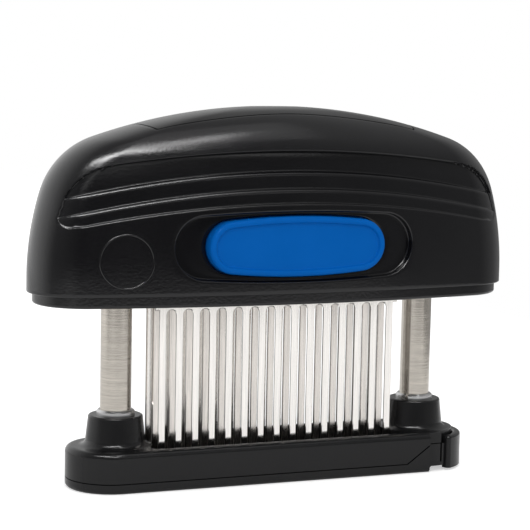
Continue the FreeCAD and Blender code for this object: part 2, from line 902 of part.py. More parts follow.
def build_bolt(number, across):
    """Cross bolt through cheeks, combs and spacers, with a slotted head."""
    bolt = Piece(f"bolt_{number}")
    head = bolt.sketch("XZ", CHEEK_FACE)
    circle(head, across, "bolt_height", 5.6)
    bolt.pad(head, 1.9)
    shank = bolt.sketch("XZ", CHEEK_FACE)
    circle(shank, across, "bolt_height", "bolt_diameter")
    bolt.pad(shank, 2 * CHEEK_FACE + 2.6, reverse=True)
    slot = bolt.sketch("XZ", CHEEK_FACE + 1.9)
    rectangle(slot, across - 4, across + 4, BOLT_Z - 0.4, BOLT_Z + 0.4)
    bolt.pocket(slot, 0.8)
    return bolt.body


def build_nut(number, across):
    """Hexagon nut on the far end of a cross bolt."""
    nut = Piece(f"nut_{number}")
    outline = nut.sketch("XZ", -CHEEK_FACE)
    reach = 5.5 / 2 / math.cos(math.radians(30))
    corners = [math.radians(30 + 60 * step) for step in range(6)]
    points = [(across + reach * math.cos(turn), BOLT_Z + reach * math.sin(turn)) for turn in corners]
    trace(outline, polygon(points))
    nut.pad(outline, 2.0, reverse=True)
    hole = nut.sketch("XZ", -CHEEK_FACE)
    circle(hole, across, "bolt_height", "bolt_diameter")
    nut.pocket(hole, FAR, middle=True)
    return nut.body


def group(label, pieces):
    """Several equal fasteners as one node of separate solids."""
    made = doc.addObject("Part::Compound", label)
    made.Label = label
    made.Links = pieces
    return made


# ---------------------------------------------------------------------------
# Hood: domed moulding, grip terraces, palm insert and push buttons
# ---------------------------------------------------------------------------

HOOD_TOP = size("hood_top")
HOOD_WALL = size("hood_wall")
HOOD_SECTIONS = 16
BUTTON_Z = size("button_centre")
SCOOP_Z = BUTTON_Z - 0.1
BAY_FACE = size("bay_face")
BAY_TOP = 85.4
BAY_HALF = 34.0
UPPER_ROOM = 79.0
TUNNEL = (68.0, 12.2, 9.0)
LATCH_BACK = 14.5
LATCH_PLATE = 1.9


class Outline:
    """Half outline of the hood seen from one side: wall, shoulder and crown arcs."""

    def __init__(self, half, wall_level, view):
        self.wall = size(f"wall_radius_{view}")
        self.shoulder = size(f"shoulder_radius_{view}")
        self.crown = size(f"crown_radius_{view}")
        self.wall_centre = (half - self.wall, wall_level)
        self.crown_centre = (0.0, HOOD_TOP - self.crown)
        self.shoulder_centre = self.meet(self.crown - self.shoulder, self.wall - self.shoulder)
        self.shoulder_low = self.touch(self.wall_centre, self.wall)
        self.shoulder_high = self.touch(self.crown_centre, self.crown)

    def meet(self, from_crown, from_wall):
        """Upper crossing of two circles round the crown's and wall's centres."""
        ax, az = self.crown_centre
        bx, bz = self.wall_centre
        apart = math.hypot(bx - ax, bz - az)
        along = (from_crown**2 - from_wall**2 + apart**2) / (2 * apart)
        aside = math.sqrt(from_crown**2 - along**2)
        ux, uz = (bx - ax) / apart, (bz - az) / apart
        first = (ax + along * ux - aside * uz, az + along * uz + aside * ux)
        second = (ax + along * ux + aside * uz, az + along * uz - aside * ux)
        return max(first, second, key=lambda point: point[1])

    def touch(self, centre, radius):
        """Level where the shoulder arc meets a larger arc."""
        dx = self.shoulder_centre[0] - centre[0]
        dz = self.shoulder_centre[1] - centre[1]
        return centre[1] + radius * dz / math.hypot(dx, dz)

    def reach(self, level):
        """Distance from the middle plane to the outline at a level."""
        if level >= self.shoulder_high:
            centre, radius = self.crown_centre, self.crown
        elif level >= self.shoulder_low:
            centre, radius = self.shoulder_centre, self.shoulder
        else:
            centre, radius = self.wall_centre, self.wall
            level = max(level, centre[1])
        return centre[0] + math.sqrt(radius**2 - (level - centre[1]) ** 2)


LONG_OUTLINE = Outline(HALF_LENGTH, HOOD_EDGE + 4, "long")
CROSS_OUTLINE = Outline(HALF_WIDTH, HOOD_EDGE, "cross")


def dome(inset=0.0, drop=0.0, depth=0.0):
    """Solid inside the hood's skin: drawn in all round, lowered, and its sides sunk by a depth."""
    wires = []
    for step in range(HOOD_SECTIONS + 1):
        rise = math.sin(math.radians(90 * step / HOOD_SECTIONS))
        level = HOOD_EDGE + (HOOD_TOP - 0.2 - HOOD_EDGE) * rise
        length = LONG_OUTLINE.reach(level) - inset
        width = CROSS_OUTLINE.reach(level) - inset - depth
        if width < 1.5:
            break
        edges = bowed(length, width, ROUNDNESS * width)
        wire = Part.Wire([edge.toShape() for edge in edges])
        wire.translate(Vector(0, 0, level - drop))
        wires.append(wire)
    return Part.makeLoft(wires, True, False)


def arch(peak, radius, end):
    """Shallow arch of a grip line: its left end, top and right end."""
    fall = radius - math.sqrt(radius**2 - end**2)
    return (-end, peak - fall), (0.0, peak), (end, peak - fall)


GRIP_TOP = arch(103.15, 380.0, 58.0)
GRIP_SHOULDER = (65.3, 95.5)
GRIP_CORNER = (70.4, 89.3)
GRIP_END = (72.6, 82.9)
GRIP_HEEL = (71.3, 80.7)
GRIP_SILL = arch(87.3, 340.0, 68.0)
SILL_DEPTH = 1.2
STEPS = (
    # crest of each step above the sill, and how deep the floor over it lies
    (arch(91.6, 312.0, 78.0), 2.4),
    (arch(96.75, 315.0, 78.0), 3.7),
)


def mirrored(point):
    """The same point at the other end of the hood."""
    return (-point[0], point[1])


def grip_outline():
    """Elevation of the finger grip: arched top and sill, slanting ends, round corners."""
    left, peak, right = GRIP_TOP
    sill_left, sill_peak, sill_right = GRIP_SILL
    return [
        arc(left, peak, right),
        arc(right, GRIP_SHOULDER, GRIP_CORNER),
        line(GRIP_CORNER, GRIP_END),
        arc(GRIP_END, GRIP_HEEL, sill_right),
        arc(sill_right, sill_peak, sill_left),
        arc(sill_left, mirrored(GRIP_HEEL), mirrored(GRIP_END)),
        line(mirrored(GRIP_END), mirrored(GRIP_CORNER)),
        arc(mirrored(GRIP_CORNER), mirrored(GRIP_SHOULDER), left),
    ]


def over_crest(crest):
    """Elevation of everything above an arched crest."""
    left, peak, right = crest
    high = HOOD_TOP + 10
    return [
        arc(left, peak, right),
        line(right, (right[0], high)),
        line((right[0], high), (left[0], high)),
        line((left[0], high), left),
    ]


def insert_outline(growth):
    """Plan of the palm insert: straight sides and gently bowed ends."""
    half = size("insert_width") / 2 + growth
    end = size("insert_length") / 2 + growth
    bow = 2.4
    return [
        line((-end + bow, -half), (end - bow, -half)),
        arc((end - bow, -half), (end, 0), (end - bow, half)),
        line((end - bow, half), (-end + bow, half)),
        arc((-end + bow, half), (-end, 0), (-end + bow, -half)),
    ]


def inside_rooms():
    """Hollow of the hood: main room open below, button bay and upper tunnel."""
    room = dome(HOOD_WALL, HOOD_WALL)
    main = room.common(block((-90, 90), (-30, 30), (0, UPPER_ROOM)))
    for near, far in ((-30, -BAY_FACE), (BAY_FACE, 30)):
        main = main.cut(block((-42, 42), (near, far), (HOOD_EDGE + 2.3, UPPER_ROOM + 1)))
    bay = block((-BAY_HALF, BAY_HALF), (-BAY_FACE, BAY_FACE), (HOOD_EDGE - 1, BAY_TOP))
    tunnel = room.common(prism(bowed(*TUNNEL), HOOD_EDGE - 1, HOOD_TOP))
    return [main, bay, tunnel]


def button_outline(grown):
    """Outline of a push button from the front, grown all round."""
    half_length = size("button_length") / 2 + grown
    half_height = size("button_height") / 2 + grown
    return bowed(half_length, half_height, size("button_end") + grown, BUTTON_Z)


def build_hood():
    """Outer skin with its grip, button scoops, insert seat and inside rooms."""
    skin = dome()
    solid = skin.copy()
    grip = side_prism(grip_outline(), -40, 40)
    solid = solid.cut(grip.cut(dome(depth=SILL_DEPTH)))
    for crest, depth in STEPS:
        step = grip.common(side_prism(over_crest(crest), -40, 40))
        solid = solid.cut(step.cut(dome(depth=depth)))
    depth = size("insert_depth")
    seat = prism(insert_outline(size("insert_groove")), HOOD_EDGE + 30, HOOD_TOP + 10)
    solid = solid.cut(seat.cut(dome(depth + 0.02, depth + 0.02)))

    edge = bowed(size("scoop_length") / 2, size("scoop_height") / 2, size("scoop_end"), SCOOP_Z)
    solid = solid.cut(side_prism(edge, -40, 40).cut(dome(depth=size("scoop_depth"))))
    solid = solid.cut(side_prism(button_outline(0.35), -40, 40))
    for space in inside_rooms():
        solid = solid.cut(space)
    keep("hood_shell", solid.removeSplitter())

    insert = prism(insert_outline(0.0), HOOD_EDGE + 30, HOOD_TOP + 10).common(skin)
    keep("palm_insert", insert.cut(dome(depth, depth)))


def build_button(label, turned):
    """Blue push button: raised rim round a sunken face, and a hidden flange."""
    button = Piece(label)
    back = BAY_FACE - PART_GAP
    face_y = size("button_face")
    cap = button.sketch("XZ", back)
    trace(cap, button_outline(0))
    button.pad(cap, face_y - back)
    button.dress("Fillet", lambda edge: edge.BoundBox.YMax < -face_y + 0.01, 1.2)
    face_cut = button.sketch("XZ", "button_face")
    trace(face_cut, button_outline(-size("button_rim")))
    button.pocket(face_cut, 0.9)
    flange = button.sketch("XZ", back)
    trace(flange, button_outline(size("button_flange")))
    button.pad(flange, 1.2, reverse=True)
    hollow = button.sketch("XZ", back - 1.2)
    trace(hollow, button_outline(-2.0))
    button.pocket(hollow, face_y - 0.9 - 1.8 - back + 1.2, reverse=True)
    pegs = button.sketch("XZ", LATCH_BACK)
    for across in (-LATCH_X, LATCH_X):
        circle(pegs, across, "button_centre", 5.0)
    button.pad(pegs, face_y - 2.0 - LATCH_BACK)
    if turned:
        button.body.Placement = Placement(Vector(), Rotation(Vector(0, 0, 1), 180))


def build_latch(label, turned):
    """Latch slide behind a button: plate, two tabs with toes, spring leaves."""
    latch = Piece(label)
    plate = latch.sketch("XZ", LATCH_BACK)
    rectangle(plate, -20.0, 20.0, BOLT_Z + 3.6, 80.0)
    latch.pad(plate, LATCH_PLATE, reverse=True)
    tabs = latch.sketch("XZ", LATCH_BACK - 0.9)
    for across in (-LATCH_X, LATCH_X):
        rectangle(tabs, across - LATCH_WIDTH / 2, across + LATCH_WIDTH / 2, TOE_LOW, BOLT_Z + 4.0)
    latch.pad(tabs, 1.6, reverse=True)
    toes = latch.sketch("XZ", LATCH_BACK - 0.9)
    for across in (-LATCH_X, LATCH_X):
        rectangle(toes, across - LATCH_WIDTH / 2, across + LATCH_WIDTH / 2, TOE_LOW, TOE_HIGH)
    latch.pad(toes, 1.4)
    back = -LATCH_BACK + LATCH_PLATE
    leaves = latch.sketch("XY", 73.0)
    for way in (-1, 1):
        trace(leaves, polygon([
            (way * 19.0, back),
            (way * 19.0, back - 1.0),
            (way * 31.0, back - 0.4),
            (way * 31.0, back + 0.6),
        ]))
    latch.pad(leaves, 5.0)
    if turned:
        latch.body.Placement = Placement(Vector(), Rotation(Vector(0, 0, 1), 180))


# ---------------------------------------------------------------------------
# The whole tool
# ---------------------------------------------------------------------------

build_base_frame()
build_strip_plate()
for side, across in SIDES.items():
    build_column(side, across)
    build_plug(side, across)
    build_spring(side, across)
    build_bush(side, across)
    build_plunger(side, across)
for side, split_angle in (("left", -20), ("right", -140)):
    build_ring(f"{side}_collar", SIDES[side], (COLUMN_RADIUS, size("collar_diameter") / 2),
               (size("boss_height"), size("boss_height") + size("collar_height")), split_angle)
    build_ring(f"{side}_top_clip", SIDES[side], (COLUMN_RADIUS - CLIP_GROOVE, COLUMN_RADIUS + 0.5),
               (CLIP_LOW, CLIP_HIGH), 90)
group("foot_screws", [build_foot_screw(side, across) for side, across in SIDES.items()])
build_frame()
for row, depth in ROWS.items():
    build_comb(row, depth)
build_spacer("front_spacer", -STACK + SHEET, -SHEET / 2)
build_spacer("rear_spacer", SHEET / 2, STACK - SHEET)
group("cartridge_bolts", [build_bolt(number, across) for number, across in enumerate(BOLTS, start=1)])
group("cartridge_nuts", [build_nut(number, across) for number, across in enumerate(BOLTS, start=1)])
build_hood()
for side, turned in (("front", False), ("rear", True)):
    build_button(f"{side}_button", turned)
    build_latch(f"{side}_latch", turned)


# ---------------------------------------------------------------------------
# Checking and writing
# ---------------------------------------------------------------------------

FASTENERS = {"foot_screws": 2, "cartridge_bolts": 3, "cartridge_nuts": 3}
NODES = [
    "base_frame", "strip_plate", "foot_screws",
    "left_column", "right_column", "left_foot_plug", "right_foot_plug",
    "left_collar", "right_collar", "left_top_clip", "right_top_clip",
    "left_spring", "right_spring", "left_plunger", "right_plunger",
    "left_guide_bush", "right_guide_bush",
    "cartridge_frame", "front_comb", "middle_comb", "rear_comb",
    "front_spacer", "rear_spacer", "cartridge_bolts", "cartridge_nuts",
    "hood_shell", "palm_insert", "front_button", "rear_button", "front_latch", "rear_latch",
]


def write_parts():
    """Check every object, then write each node's solid."""
    doc.recompute()
    for made in doc.Objects:
        if "Invalid" in made.State or "Error" in made.State:
            raise RuntimeError(f"{made.Label} failed: {made.State}")
    os.makedirs("parts", exist_ok=True)
    for label in NODES:
        shape = doc.getObjectsByLabel(label)[0].Shape
        if shape.isNull() or not shape.isValid():
            raise RuntimeError(f"{label} is not valid")
        if len(shape.Solids) != FASTENERS.get(label, 1):
            raise RuntimeError(f"{label} has {len(shape.Solids)} solids")
        shape.exportStep(f"parts/{label}.step")
        print(f"{label:24s} solids {len(shape.Solids)} volume {shape.Volume:10.1f}")


write_parts()
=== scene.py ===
"""Dressed model of a hand-held push-down blade tenderizer, in its CAD frame."""

import logging
import math
from collections.abc import Callable, Iterable
from dataclasses import dataclass, field
from enum import Enum

import bmesh
import bpy
from mathutils import Matrix, Vector


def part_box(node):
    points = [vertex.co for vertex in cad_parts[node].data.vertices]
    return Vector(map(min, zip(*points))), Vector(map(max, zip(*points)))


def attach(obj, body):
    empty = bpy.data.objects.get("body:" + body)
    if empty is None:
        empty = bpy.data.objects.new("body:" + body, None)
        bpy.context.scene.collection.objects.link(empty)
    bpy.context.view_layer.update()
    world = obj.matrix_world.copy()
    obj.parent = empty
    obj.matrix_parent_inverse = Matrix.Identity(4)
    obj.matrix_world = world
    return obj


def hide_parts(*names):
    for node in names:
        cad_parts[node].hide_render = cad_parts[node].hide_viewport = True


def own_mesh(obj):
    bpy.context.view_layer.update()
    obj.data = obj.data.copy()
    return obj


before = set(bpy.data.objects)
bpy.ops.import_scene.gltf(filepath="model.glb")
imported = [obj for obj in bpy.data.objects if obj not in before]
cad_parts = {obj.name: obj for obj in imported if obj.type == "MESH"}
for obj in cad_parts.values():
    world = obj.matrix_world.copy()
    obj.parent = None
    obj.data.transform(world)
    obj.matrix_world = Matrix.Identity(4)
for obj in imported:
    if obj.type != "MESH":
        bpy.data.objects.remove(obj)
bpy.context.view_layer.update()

log = logging.getLogger("tenderizer")
MM = 0.001

NOISE_SPAN = (0.3, 0.7)  # values between which nearly all of a noise lies
LINE_SPAN = (0.36, 0.64)  # the same for the steel's finer lines
SIDE_PART = 0.6  # part of a quarter turn that looks at an oval's side arc
NEAR = 0.01  # millimetres within which two levels count as one
CREASE = 35.0  # degrees above which an edge stays sharp
LEAST_END = 0.4  # least radius of a shrunk outline's end arcs
PATCHES = (28.0, 4.0, 0.55)  # scale, detail and roughness of the rubbed patches
PATCH_SPAN = (0.42, 0.72)  # values between which a patch fades in

Tree, Node, Socket = bpy.types.NodeTree, bpy.types.Node, bpy.types.NodeSocket
Material, Piece = bpy.types.Material, bpy.types.Object
Mesh, Face = bmesh.types.BMesh, bmesh.types.BMFace
Edge, Corner = bmesh.types.BMEdge, bmesh.types.BMVert
Pair = tuple[float, float]
Triple = Colour = tuple[float, float, float]
Loop = list[Edge]
Rule = Callable[[Vector], Vector]
Source = Socket | float | tuple[float, ...]


# ---- Named options ----


class Grain(Enum):
    """Way that a steel surface was worked."""

    ROUND = (0.04, 0.04, 1.0)
    ALONG = (1.0, 1.0, 0.03)
    NONE = (1.0, 1.0, 1.0)


class Side(Enum):
    """Side of the tool that a pair of like pieces faces."""

    FRONT = -1.0
    REAR = 1.0


# ---- Node helpers and shared effects ----


def new_group(name: str, inputs: dict[str, float | None], outputs: list[str]) -> Tree:
    """Start a shader node group with named sockets.

    Args:
        name: name of the group.
        inputs: default of each number input; None makes a vector input.
        outputs: names of the number outputs.

    Returns:
        The group's tree with its input and output nodes in place.
    """
    tree = bpy.data.node_groups.new(name, "ShaderNodeTree")
    for label, default in inputs.items():
        kind = "NodeSocketVector" if default is None else "NodeSocketFloat"
        socket = tree.interface.new_socket(label, in_out="INPUT", socket_type=kind)
        if default is not None:
            socket.default_value = default
    for label in outputs:
        tree.interface.new_socket(label, in_out="OUTPUT", socket_type="NodeSocketFloat")
    tree.nodes.new("NodeGroupInput")
    tree.nodes.new("NodeGroupOutput")
    return tree


def group_ends(tree: Tree) -> tuple[Node, Node]:
    """Input and output node of a group's tree."""
    return tree.nodes["Group Input"], tree.nodes["Group Output"]


def feed(socket: Socket, value: Source) -> None:
    """Link a socket to another, or set it to a constant.

    Args:
        socket: input to feed.
        value: socket to link it to, or a constant.
    """
    if isinstance(value, Socket):
        socket.id_data.links.new(value, socket)
    else:
        socket.default_value = value


def maths(tree: Tree, operation: str, *values: Source) -> Socket:
    """Result of a Math node whose inputs are sockets or constants.

    Args:
        tree: node tree to add to.
        operation: name of the operation.
        *values: its inputs, as sockets or constants.

    Returns:
        Socket with the result.
    """
    node = tree.nodes.new("ShaderNodeMath")
    node.operation = operation
    for socket, value in zip(node.inputs, values):
        feed(socket, value)
    return node.outputs["Value"]


def dot_product(tree: Tree, vector: Socket, axis: Iterable[float]) -> Socket:
    """Dot product of a vector with a fixed one.

    Args:
        tree: node tree to add to.
        vector: socket with the one vector.
        axis: the fixed vector.

    Returns:
        Socket with the product.
    """
    node = tree.nodes.new("ShaderNodeVectorMath")
    node.operation = "DOT_PRODUCT"
    feed(node.inputs[0], vector)
    feed(node.inputs[1], tuple(axis))
    return node.outputs["Value"]


def noise(tree: Tree, vector: Socket, scale: Source, detail: float, roughness: float) -> Socket:
    """Noise over a vector.

    Args:
        tree: node tree to add to.
        vector: place that the noise is read at.
        scale: noise cells per metre.
        detail: number of finer layers.
        roughness: strength of the finer layers.

    Returns:
        Socket with the noise, from 0 to 1.
    """
    node = tree.nodes.new("ShaderNodeTexNoise")
    settings = {"Vector": vector, "Scale": scale, "Detail": detail, "Roughness": roughness}
    for label, value in settings.items():
        feed(node.inputs[label], value)
    return node.outputs["Fac"]


def remap(tree: Tree, value: Socket, before: Pair, after: Pair) -> Socket:
    """Value taken from one span to another, and held inside it.

    Args:
        tree: node tree to add to.
        value: socket to read.
        before: span of the value.
        after: span of the result.

    Returns:
        Socket with the result.
    """
    node = tree.nodes.new("ShaderNodeMapRange")
    settings = {"Value": value, "From Min": before[0], "From Max": before[1],
                "To Min": after[0], "To Max": after[1]}
    for label, part in settings.items():
        feed(node.inputs[label], part)
    return node.outputs["Result"]


def two_scales(name: str, outputs: tuple[str, str], scale: float, slower: float,
               fine: Pair, broad: Pair) -> Tree:
    """Group with a fine noise and a broader one over the same vector.

    Args:
        name: name of the group.
        outputs: names of the fine and the broad output.
        scale: default scale of the fine noise.
        slower: scale of the broad noise as a share of the fine one's.
        fine: detail and roughness of the fine noise.
        broad: detail and roughness of the broad noise.

    Returns:
        Group with a Vector and a Scale input and the two outputs.
    """
    tree = new_group(name, {"Vector": None, "Scale": scale}, list(outputs))
    source, result = group_ends(tree)
    vector, size = source.outputs["Vector"], source.outputs["Scale"]
    feed(result.inputs[outputs[0]], noise(tree, vector, size, *fine))
    slow = maths(tree, "MULTIPLY", size, slower)
    feed(result.inputs[outputs[1]], noise(tree, vector, slow, *broad))
    return tree


def moulding_skin() -> Tree:
    """Fine pebble of a moulded surface: its height and a faint mottle."""
    return two_scales("moulding_skin", ("Height", "Mottle"), 900.0, 0.06, (2.0, 0.5), (3.0, 0.6))


def tool_lines() -> Tree:
    """Close parallel lines left by grinding or drawing steel: their height and a slower streak."""
    return two_scales("tool_lines", ("Height", "Streak"), 2500.0, 0.25, (3.0, 0.7), (2.0, 0.5))


def handling_marks() -> Tree:
    """Faint patches that hands have rubbed smoother.

    Returns:
        Group with a Vector and an Amount input and a Rubbed output.
    """
    tree = new_group("handling_marks", {"Vector": None, "Amount": 0.5}, ["Rubbed"])
    source, result = group_ends(tree)
    patches = noise(tree, source.outputs["Vector"], *PATCHES)
    rubbed = remap(tree, patches, PATCH_SPAN, (0.0, 1.0))
    feed(result.inputs["Rubbed"], maths(tree, "MULTIPLY", rubbed, source.outputs["Amount"]))
    return tree


@dataclass(frozen=True)
class Effects:
    """Node groups that several finishes share."""

    skin: Tree
    marks: Tree
    lines: Tree

    @classmethod
    def build(cls) -> "Effects":
        """Make each shared group once."""
        return cls(skin=moulding_skin(), marks=handling_marks(), lines=tool_lines())


# ---- Finishes ----


def place_group(tree: Tree, effect: Tree, vector: Socket, **numbers: float) -> Node:
    """Add a shared effect to a material.

    Args:
        tree: the material's node tree.
        effect: group to add.
        vector: place that the effect is read at.
        **numbers: constants of the group's other inputs.

    Returns:
        The group node.
    """
    node = tree.nodes.new("ShaderNodeGroup")
    node.node_tree = effect
    feed(node.inputs["Vector"], vector)
    for label, number in numbers.items():
        feed(node.inputs[label], number)
    return node


def start_material(name: str, **constants: float) -> tuple[Material, Node, Socket]:
    """Node material with its shader.

    Args:
        name: name of the material.
        **constants: the shader's constants, with underscores for the spaces in their names.

    Returns:
        The material, its Principled BSDF and its object coordinates.
    """
    material = bpy.data.materials.new(name)
    material.use_nodes = True
    nodes = material.node_tree.nodes
    shader = nodes["Principled BSDF"]
    for label, number in constants.items():
        shader.inputs[label.replace("_", " ")].default_value = number
    return material, shader, nodes.new("ShaderNodeTexCoord").outputs["Object"]


def bump(tree: Tree, height: Socket, strength: float, depth: float) -> Socket:
    """Normal bent by a height.

    Args:
        tree: node tree to add to.
        height: socket that holds the height.
        strength: share of the bump that shows.
        depth: height in metres of a full step.

    Returns:
        Socket with the normal.
    """
    node = tree.nodes.new("ShaderNodeBump")
    for label, value in {"Height": height, "Strength": strength, "Distance": depth}.items():
        feed(node.inputs[label], value)
    return node.outputs["Normal"]


def blend(tree: Tree, factor: Socket, first: Colour, second: Colour) -> Socket:
    """Colour between two colours, the first where the factor is 0.

    Args:
        tree: node tree to add to.
        factor: share of the second colour.
        first: colour at a share of 0.
        second: colour at a share of 1.

    Returns:
        Socket with the colour.
    """
    node = tree.nodes.new("ShaderNodeMix")
    node.data_type = "RGBA"
    for label, value in {"Factor": factor, "A": (*first, 1.0), "B": (*second, 1.0)}.items():
        feed(node.inputs[label], value)
    return node.outputs["Result"]


@dataclass(frozen=True)
class MouldedPlastic:
    """Injection-moulded plastic with a fine pebble and rubbed patches."""

    name: str
    colour: Colour
    roughness: float
    pebble_scale: float
    pebble_depth: float
    specular: float = 0.5
    marks: float = 0.5
    spread: float = 0.1
    lightening: Pair = (1.12, 0.001)
    rubbing: float = 0.05
    relief: float = 0.35

    def build(self, effects: Effects) -> Material:
        """Make the material from the shared effects.

        Args:
            effects: the shared node groups.

        Returns:
            The material.
        """
        material, shader, place = start_material(self.name, Specular_IOR_Level=self.specular)
        tree = material.node_tree
        skin = place_group(tree, effects.skin, place, Scale=self.pebble_scale)
        marks = place_group(tree, effects.marks, place, Amount=self.marks)
        mottle = skin.outputs["Mottle"]
        less, more = 1 - self.spread, 1 + self.spread
        base = remap(tree, mottle, NOISE_SPAN, (self.roughness * less, self.roughness * more))
        gain, lift = self.lightening
        lighter = tuple(min(1.0, part * gain + lift) for part in self.colour)
        rough = maths(tree, "MULTIPLY_ADD", marks.outputs["Rubbed"], self.rubbing, base)
        feed(shader.inputs["Roughness"], rough)
        feed(shader.inputs["Base Color"], blend(tree, mottle, self.colour, lighter))
        normal = bump(tree, skin.outputs["Height"], self.relief, self.pebble_depth)
        feed(shader.inputs["Normal"], normal)
        return material


@dataclass(frozen=True)
class WorkedSteel:
    """Bare steel with the lines of its grinding or drawing."""

    name: str
    colour: Colour
    roughness: float
    grain: Grain
    line_scale: float = 2600.0
    line_depth: float = 0.000004
    contrast: float = 0.12
    relief: float = 0.5

    def build(self, effects: Effects) -> Material:
        """Make the material from the shared effects.

        Args:
            effects: the shared node groups.

        Returns:
            The material.
        """
        material, shader, place = start_material(self.name, Metallic=1.0)
        tree = material.node_tree
        stretch = tree.nodes.new("ShaderNodeMapping")
        feed(stretch.inputs["Vector"], place)
        feed(stretch.inputs["Scale"], self.grain.value)
        lines = place_group(tree, effects.lines, stretch.outputs["Vector"], Scale=self.line_scale)
        height = lines.outputs["Height"]
        less, more = 1 - self.contrast, 1 + self.contrast
        rough = remap(tree, lines.outputs["Streak"], NOISE_SPAN,
                      (self.roughness * less, self.roughness * more))
        streak = remap(tree, height, LINE_SPAN, (0.0, 1.0))
        darker = tuple(part * less for part in self.colour)
        feed(shader.inputs["Roughness"], rough)
        feed(shader.inputs["Base Color"], blend(tree, streak, darker, self.colour))
        feed(shader.inputs["Normal"], bump(tree, height, self.relief, self.line_depth))
        return material


class Finishes:
    """All finishes of the tool, each made once."""

    PLASTICS = {
        "black_satin": ((0.003, 0.003, 0.0038), 0.18, 1300.0, 0.00008, 0.45),
        "black_smooth": ((0.007, 0.007, 0.0075), 0.2, 1800.0, 0.00001, 0.5),
        "black_scoop": ((0.003, 0.003, 0.004), 0.14, 1800.0, 0.000005, 0.4),
        "black_base": ((0.0075, 0.0075, 0.008), 0.2, 1500.0, 0.00002, 0.26),
        "black_plain": ((0.03, 0.03, 0.032), 0.5, 900.0, 0.00003),
        "blue_gloss": ((0.0, 0.096, 0.393), 0.3, 1600.0, 0.00001, 0.04, 0.3),
        "white_bush": ((0.72, 0.72, 0.68), 0.45, 900.0, 0.00002),
    }
    STEELS = {
        "ground_column": ((0.58, 0.54, 0.485), 0.2, Grain.ROUND, 3000.0, 0.00003, 0.24),
        "stamped_knife": ((0.95, 0.92, 0.885), 0.12, Grain.ALONG, 2200.0),
        # Middle row's knives: the same steel as the outer rows, made darker as painted shade from
        # the rows beside it.
        "inner_knife": ((0.82, 0.775, 0.73), 0.16, Grain.ALONG, 2200.0, 0.000004, 0.2),
        # Slot walls and cut ends of the combs: partly the duller sheared finish, partly painted
        # shade and painted dark reflection, which is why they are near black.
        "sheared_edge": ((0.08, 0.07, 0.06), 0.35, Grain.NONE),
        "ring_spring": ((0.5, 0.5, 0.5), 0.28, Grain.ROUND),
        "drawn_wire": ((0.55, 0.55, 0.55), 0.3, Grain.NONE),
        "turned": ((0.6, 0.6, 0.6), 0.3, Grain.NONE),
    }

    def __init__(self, effects: Effects) -> None:
        """Make every finish from the shared effects.

        Args:
            effects: the shared node groups.
        """
        plastics = [MouldedPlastic(f"{name}_plastic", *settings)
                    for name, settings in self.PLASTICS.items()]
        steels = [WorkedSteel(f"{name}_steel", *settings)
                  for name, settings in self.STEELS.items()]
        self.made = {finish.name: finish.build(effects) for finish in [*plastics, *steels]}

    def __getitem__(self, name: str) -> Material:
        """Finish of that name."""
        return self.made[name]


# ---- Studio ----


